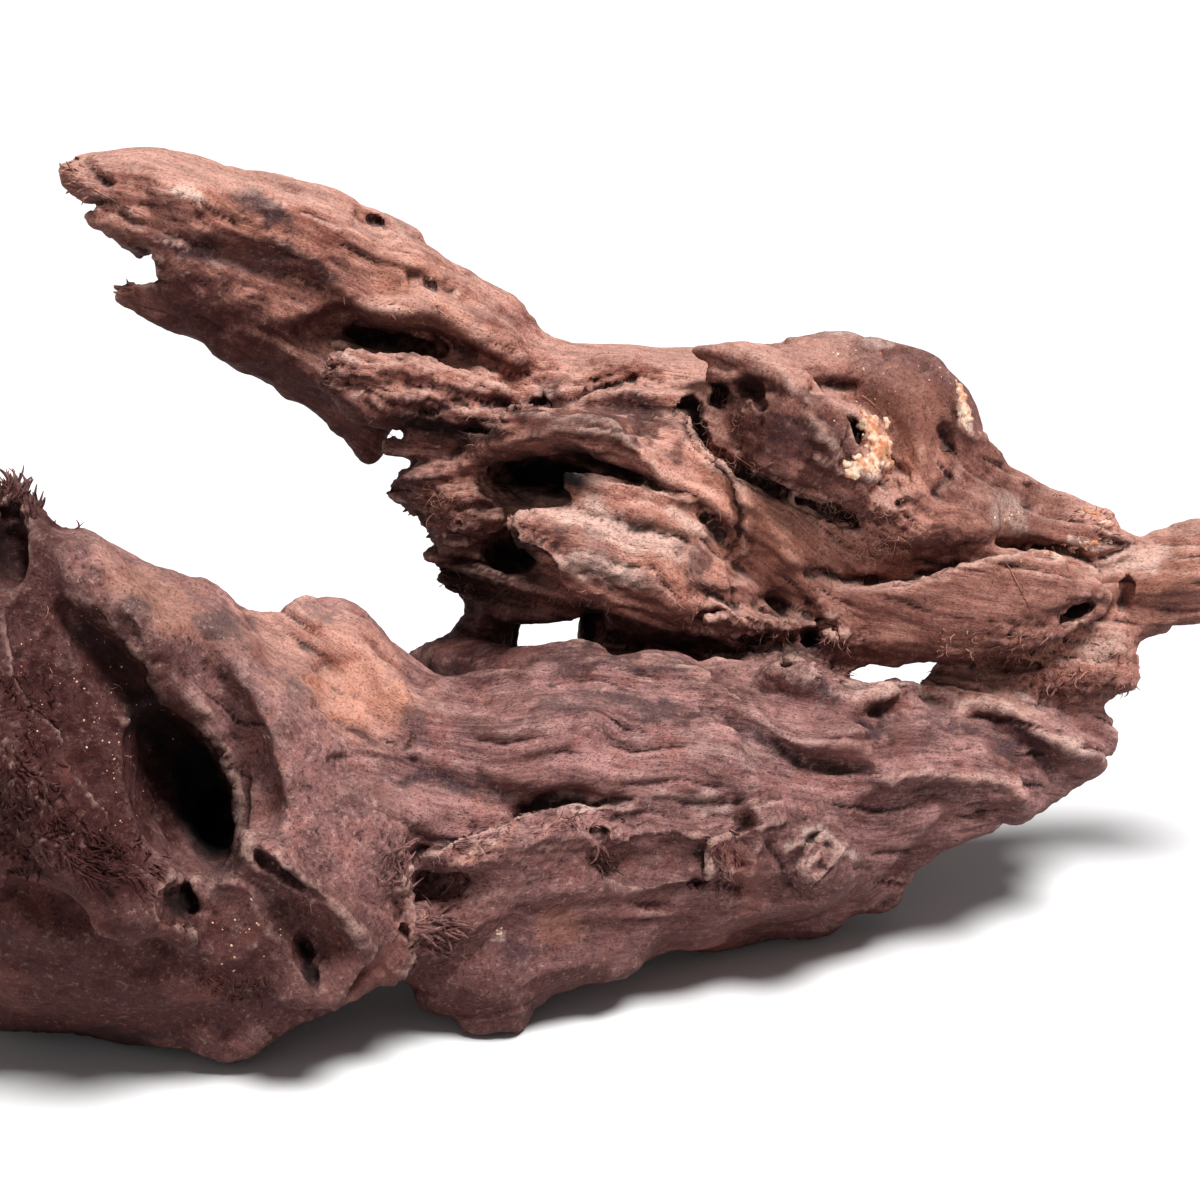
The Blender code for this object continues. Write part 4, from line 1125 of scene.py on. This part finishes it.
def addStrands(name, paths, sides):
    # every path as one spline of a curve that tapers to its end
    lines = bpy.data.curves.new(name, "CURVE")
    lines.dimensions = "3D"
    lines.bevel_depth = mm
    lines.bevel_resolution = sides
    lines.use_fill_caps = True
    low, high = np.array(cadBox[0]) / mm + 0.6, np.array(cadBox[1]) / mm - 0.6
    for thick, points in paths:
        spline = lines.splines.new("POLY")
        spline.points.add(len(points) - 1)
        for k, (point, place) in enumerate(zip(spline.points, points)):
            point.co = (*(np.clip(place, low, high) * mm), 1)
            point.radius = thick * (1 - 0.8 * k / (len(points) - 1))
    obj = bpy.data.objects.new(name, lines)
    bpy.context.scene.collection.objects.link(obj)
    makeActive(obj)
    bpy.ops.object.convert(target="MESH")
    bpy.context.object.data.shade_smooth()
    return bpy.context.object


def growTufts(tree, kind, draw):
    paths = []
    for px, py, wide, high, turn, count, length, thick, way, curl in drawn(tufts[kind]):
        lean = Matrix.Rotation(math.radians(turn), 2)
        for k in range(int(count)):
            spot = lean @ Vector(np.clip(draw.normal(size=2), -1.6, 1.6) * (wide * 0.6, high * 0.6))
            far = length * draw.uniform(0.45, 1.2)
            lift = draw.uniform(0.05, 0.45)
            found = strandPoints(tree, (px + spot.x, py + spot.y), way + draw.normal() * 24, far, lift, curl, draw)
            if found:
                paths.append((thick * draw.uniform(0.5, 1.3), found))
    return addStrands(kind + "s", paths, 0)


def layStrands(tree):
    paths = []
    for thick, way in strands:
        hits = [skinAt(tree, px, py) for px, py in curveThrough(drawn(way), 5)]
        paths.append((thick, [hit + normal * 0.3 for hit, normal in hits if hit]))
    return addStrands("long_strands", paths, 0)


# Crumbs of soft pale rot: pixel, half sizes in pixels, turn, count and radius in mm
crumbs = (
    "868,464,22,8,-12,90,1.3 872,432,13,18,10,60,1.1 884,450,10,12,0,40,1.2 962,405,5,24,-16,60,0.9 "
    "1080,546,30,5,-12,60,0.7 1108,522,24,5,30,40,0.7"
)
flecks = (
    "1010,515,16,7,10,24,0.4 1060,550,40,10,-12,30,0.35 100,720,60,100,-25,70,0.28 820,350,60,12,0,16,0.4 "
    "880,380,60,40,0,22,0.35 240,940,40,40,0,16,0.35 268,738,4,3,0,5,0.5 500,932,5,4,0,5,0.5"
)


def scatterBalls(tree, places, draw, flat):
    deselectAll()
    bpy.ops.mesh.primitive_ico_sphere_add(subdivisions=1, radius=1)
    model = bpy.context.object
    made = []
    for px, py, wide, high, turn, count, radius in drawn(places):
        lean = Matrix.Rotation(math.radians(turn), 2)
        for k in range(int(count)):
            spot = lean @ Vector(np.clip(draw.normal(size=2), -1.7, 1.7) * (wide * 0.6, high * 0.6))
            hit, normal = skinAt(tree, px + spot.x, py + spot.y)
            if hit is None:
                continue
            size = radius * draw.uniform(0.5, 1.4)
            stand = normal.to_track_quat("Z", "Y").to_matrix().to_4x4()
            shape = Matrix.Diagonal((size, size * draw.uniform(0.6, 1.5), size * flat, 1))
            ball = copyOf(model)
            spin = Matrix.Rotation(draw.uniform(0, math.tau), 4, "Z")
            ball.data.transform(Matrix.Scale(mm, 4) @ Matrix.Translation(hit) @ stand @ spin @ shape)
            made.append(ball)
    bpy.data.objects.remove(model)
    return joinTogether(made, "flecks")


def crumble(obj, size):
    evenSkin(obj, size)
    points, normals = skinOf(obj)
    rough = fractal(points, 1.8, 3, 9) * 0.7
    reshape(obj, points + normals * rough[:, None])
    obj.data.shade_smooth()
    return obj


def crumbMaterial():
    nodes = Nodes("soft_rot")
    place = nodes.place()
    cloud = nodes.noise(place, 240, 4, 0.6)
    grit = nodes.noise(place, 1500, 4, 0.7)
    colour = nodes.mix(cloud.between(0.35, 0.65), tone(196, 124, 86), tone(240, 212, 186))
    colour = nodes.mix(grit.between(0.55, 0.75) * 0.5, colour, tone(128, 74, 54))
    return nodes.finish(colour, 0.8 + grit * 0.2, grit + cloud, 0.7, 0.0006)


def rootletMaterial():
    nodes = Nodes("dry_rootlet")
    place = nodes.place()
    cloud = nodes.noise(place, 120, 3, 0.6)
    colour = nodes.mix(cloud.between(0.35, 0.65), tone(112, 66, 54), tone(190, 140, 120))
    return nodes.finish(colour, 0.6 + cloud * 0.3)


def finishPiece(obj, material):
    obj.data.materials.clear()
    obj.data.materials.append(material)
    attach(obj, "root")


def sliceWood(obj, cuts):
    # slices across the piece, each closed at its cuts, one loop of the rim at a time
    keepShading(obj)
    slices = []
    rest = obj
    for place in cuts:
        left = copyOf(rest)
        for half, clear in ((left, "clear_outer"), (rest, "clear_inner")):
            makeActive(half)
            bpy.ops.object.mode_set(mode="EDIT")
            bpy.ops.mesh.select_mode(type="FACE")
            bpy.ops.mesh.select_all(action="SELECT")
            bpy.ops.mesh.bisect(plane_co=(place * mm, 0, 0), plane_no=(1, 0, 0), **{clear: True})
            bpy.ops.mesh.select_mode(type="EDGE")
            bpy.ops.mesh.select_all(action="DESELECT")
            bpy.ops.mesh.select_non_manifold(
                use_wire=False, use_multi_face=False, use_non_contiguous=False, use_verts=False
            )
            bpy.ops.mesh.fill_holes(sides=0)
            bpy.ops.mesh.quads_convert_to_tris(quad_method="BEAUTY", ngon_method="BEAUTY")
            bpy.ops.object.mode_set(mode="OBJECT")
        slices.append(left)
    slices.append(rest)
    for k, piece in enumerate(slices):
        piece.name = f"weathered_wood_{k + 1}"
        hideCuts(piece)
    return slices


def keepShading(obj):
    # the whole skin's normals are kept as an attribute, which the cuts carry over
    points, normals = skinOf(obj)
    putAttribute(obj, "whole_normal", normals)


def hideCuts(piece):
    # each slice is shaded with the whole skin's normals, so that a cut's rim doesn't show
    mesh = piece.data
    mesh.shade_smooth()
    layer = mesh.attributes["whole_normal"]
    normals = np.empty(len(mesh.vertices) * 3, np.float32)
    layer.data.foreach_get("vector", normals)
    normals = normals.reshape(-1, 3)
    normals /= np.maximum(np.linalg.norm(normals, axis=1, keepdims=True), 1e-6)
    mesh.attributes.remove(layer)
    mesh.normals_split_custom_set_from_vertices(normals.tolist())


def addFloor():
    deselectAll()
    bpy.ops.mesh.primitive_plane_add(size=160, location=(0, 0, 0))
    floor = bpy.context.object
    floor.name = "floor"
    paper = Nodes("floor_paper")
    paper.shader.inputs["Base Color"].default_value = tone(236, 235, 235)
    paper.shader.inputs["Roughness"].default_value = 0.9
    floor.data.materials.append(paper.material)


def addSun(name, place, spread, strength):
    light = bpy.data.lights.new(name, "SUN")
    light.angle = math.radians(spread)
    light.energy = strength
    lamp = bpy.data.objects.new(name, light)
    bpy.context.scene.collection.objects.link(lamp)
    lamp.rotation_euler = (-Vector(place)).to_track_quat("-Z", "Y").to_euler()


def addStudio():
    addFloor()
    addSun("overhead", (0.3, -0.34, 1.0), 20, 4.7)
    addSun("front", (-0.3, -1.0, 0.5), 60, 0.16)
    world = bpy.data.worlds.new("studio")
    world.use_nodes = True
    world.node_tree.nodes["Background"].inputs[0].default_value = (1, 0.985, 0.99, 1)
    world.node_tree.nodes["Background"].inputs[1].default_value = 0.14
    bpy.context.scene.world = world
    bpy.context.scene.view_settings.view_transform = "Standard"


def addCamera():
    lens = bpy.data.cameras.new("camera")
    lens.lens = picture["lens"]
    camera = bpy.data.objects.new("camera", lens)
    bpy.context.scene.collection.objects.link(camera)
    camera.location = Vector(eye) * mm
    look = Vector(picture["target"]) - Vector(eye)
    camera.rotation_euler = look.to_track_quat("-Z", "Y").to_euler()
    bpy.context.scene.camera = camera


body = carveWood()
body.data.materials.clear()
colourPoints(body)
bark = woodMaterial()
log("coloured")
skinTree = treeOf(body)
draw = np.random.default_rng(wood["seed"])
splinters = growTufts(skinTree, "splinter", draw)
colourPoints(splinters, bare=True)
finishPiece(splinters, bark)
rootlets = joinTogether([growTufts(skinTree, "rootlet", draw), layStrands(skinTree)], "rootlets")
finishPiece(rootlets, rootletMaterial())
crumb = crumble(scatterBalls(skinTree, crumbs, draw, 0.7), 0.55)
rot = joinTogether([crumb, scatterBalls(skinTree, flecks, draw, 0.3)], "soft_rot")
finishPiece(rot, crumbMaterial())
log(f"fibres {len(splinters.data.polygons)}, rootlets {len(rootlets.data.polygons)}, rot {len(rot.data.polygons)}")
for piece in sliceWood(body, wood["cuts"]):
    finishPiece(piece, bark)
    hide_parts("ironwood_piece")
    log(f"{piece.name} {len(piece.data.polygons)} faces")
addStudio()
addCamera()
